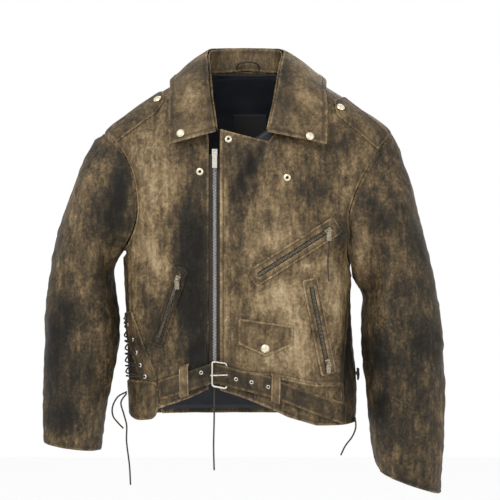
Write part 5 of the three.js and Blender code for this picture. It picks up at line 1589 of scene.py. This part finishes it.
prong_piece = strand("buckle_prong_wire",
                     [(-35.2, -106.6, -528), (-33.2, -109.4, -528), (-35.8, -111.9, -528),
                     (-44, -114.6, -528), (-55, -118.0, -528), (-63, -119.8, -528)], 0.0014)
prong_piece.data.bevel_resolution = 5
prong_piece.data.materials.append(NICKEL)
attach(prong_piece, "buckle_prong")
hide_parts("buckle_prong")

# ---- Side lacing and hang loop ------------------------------------------------------------
# Rawhide lace zigzags from the front eyelets round the side panel, and a round leather loop is
# sewn in at the back of the neck.
lace_path = []
for i, (x, z) in enumerate(LACE_HOLES):
    following = LACE_HOLES[i + 1] if i + 1 < len(LACE_HOLES) else None
    first = float(turn_at(x, z))
    last = float(turn_at(*following)) if following else -1.8
    for k in range(6 if following else 3):
        a, b = (first, -1.8) if k < 3 else (-1.8, last)
        turn_now = a + (b - a) * (k % 3) / 3
        height = z + ((following[1] if following else z - 12) - z) * k / 6
        t, h = np.array([turn_now]), np.array([height])
        away = 1 - abs(k % 6 - 3) / 3
        lace_path.append(body(t, h, np.array([4.8 - 2.9 * away**1.3]))[0])
lace_piece = strand("right_lace_hide", lace_path, 0.0014)
lace_piece.data.materials.append(rawhide)
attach(lace_piece, "torso")
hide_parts("right_lace")
loop_piece = strand("hang_loop_hide",
                    [(-20, 40.5, 3), (-17, 34, 12), (0, 32, 16), (17, 34, 12), (20, 40.5, 3)], 0.0015)
loop_piece.data.materials.append(rawhide)
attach(loop_piece, "torso")
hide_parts("hang_loop")

# A short tie of the same lace closes the left side, wound round an eyelet.
tie_middle = body(np.array([1.38]), np.array([-532.0]), np.array([3.4]))[0]
tie_up = body_normal(np.array([1.38]), np.array([-532.0]))
tie_across = np.cross(tie_up[0], (0, 0, 1.0))
tie_path = []
for k in range(27):
    a = k / 26 * 2.4 * 2 * np.pi
    grow = 1 + 0.12 * k / 26
    tie_path.append(tie_middle + tie_across * 5.2 * grow * np.cos(a)
                    + np.array([0, 0, 8.5 * grow * np.sin(a) - k * 0.12])
                    + tie_up[0] * (1.1 * np.cos(1.5 * a) + k * 0.05))
tie_piece = strand("left_side_tie", tie_path, 0.0012)
tie_piece.data.materials.append(rawhide)
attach(tie_piece, "torso")
one("left_side_eyelet", eyelet_item, tie_middle[None] - tie_up * 2.2, tie_up, NICKEL, "torso", None)


# ---- Stitching ----------------------------------------------------------------------------
# Waxed thread in every row that the sections above have marked, and two more rows down the
# placket beside the main zip. Each moving part has its stitches as one mesh.
for x in (-41.5, -29):
    z = np.linspace(-140, -516, 190)
    turns = turn_at(x, z)
    sew("torso", body(turns, z, np.full(len(z), 0.1)), body_normal(turns, z))
for body_name, rows in SEWN.items():
    piece = set_rows(f"{body_name}_stitches", rows, stitch_item, thread_wax)
    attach(piece, body_name)
for item_object in (stitch_item, tooth_item, eyelet_item, hole_item, cap_item, socket_item):
    bpy.data.objects.remove(item_object)


# ---- Studio -------------------------------------------------------------------------------
# A pale matt floor under a white surround, with three broad soft lamps: key, fill and rim. None
# of it belongs to the jacket.
floor_mesh = bpy.data.meshes.new("floor")
floor_mesh.from_pydata([(-6, -6, -1.5), (6, -6, -1.5), (6, 6, -1.5), (-6, 6, -1.5)], [], [(0, 1, 2, 3)])
floor = link("floor", floor_mesh)
floor_paint, _, _ = material("floor paint", base_color=(0.95, 0.95, 0.95, 1), roughness=0.9)
floor_mesh.materials.append(floor_paint)
world = bpy.data.worlds.new("studio")
world.use_nodes = True
world.node_tree.nodes["Background"].inputs["Color"].default_value = (1, 1, 1, 1)
world.node_tree.nodes["Background"].inputs["Strength"].default_value = 1.0
bpy.context.scene.world = world
bpy.context.scene.view_settings.view_transform = "Standard"


def soft_light(name, place, target, size, power):
    light = bpy.data.lights.new(name, "AREA")
    light.shape = "DISK"
    light.size = size
    light.energy = power
    lamp = link(name, light)
    lamp.location = place
    lamp.rotation_euler = (Vector(target) - Vector(place)).to_track_quat("-Z", "Y").to_euler()


soft_light("key", (-1.1, -2.2, 1.5), (0, 0, -0.3), 1.1, 34)
soft_light("fill", (1.8, -1.8, 0.3), (0, 0, -0.35), 1.6, 8)
soft_light("rim", (0.3, 2.0, 1.2), (0, 0, -0.2), 1.2, 16)
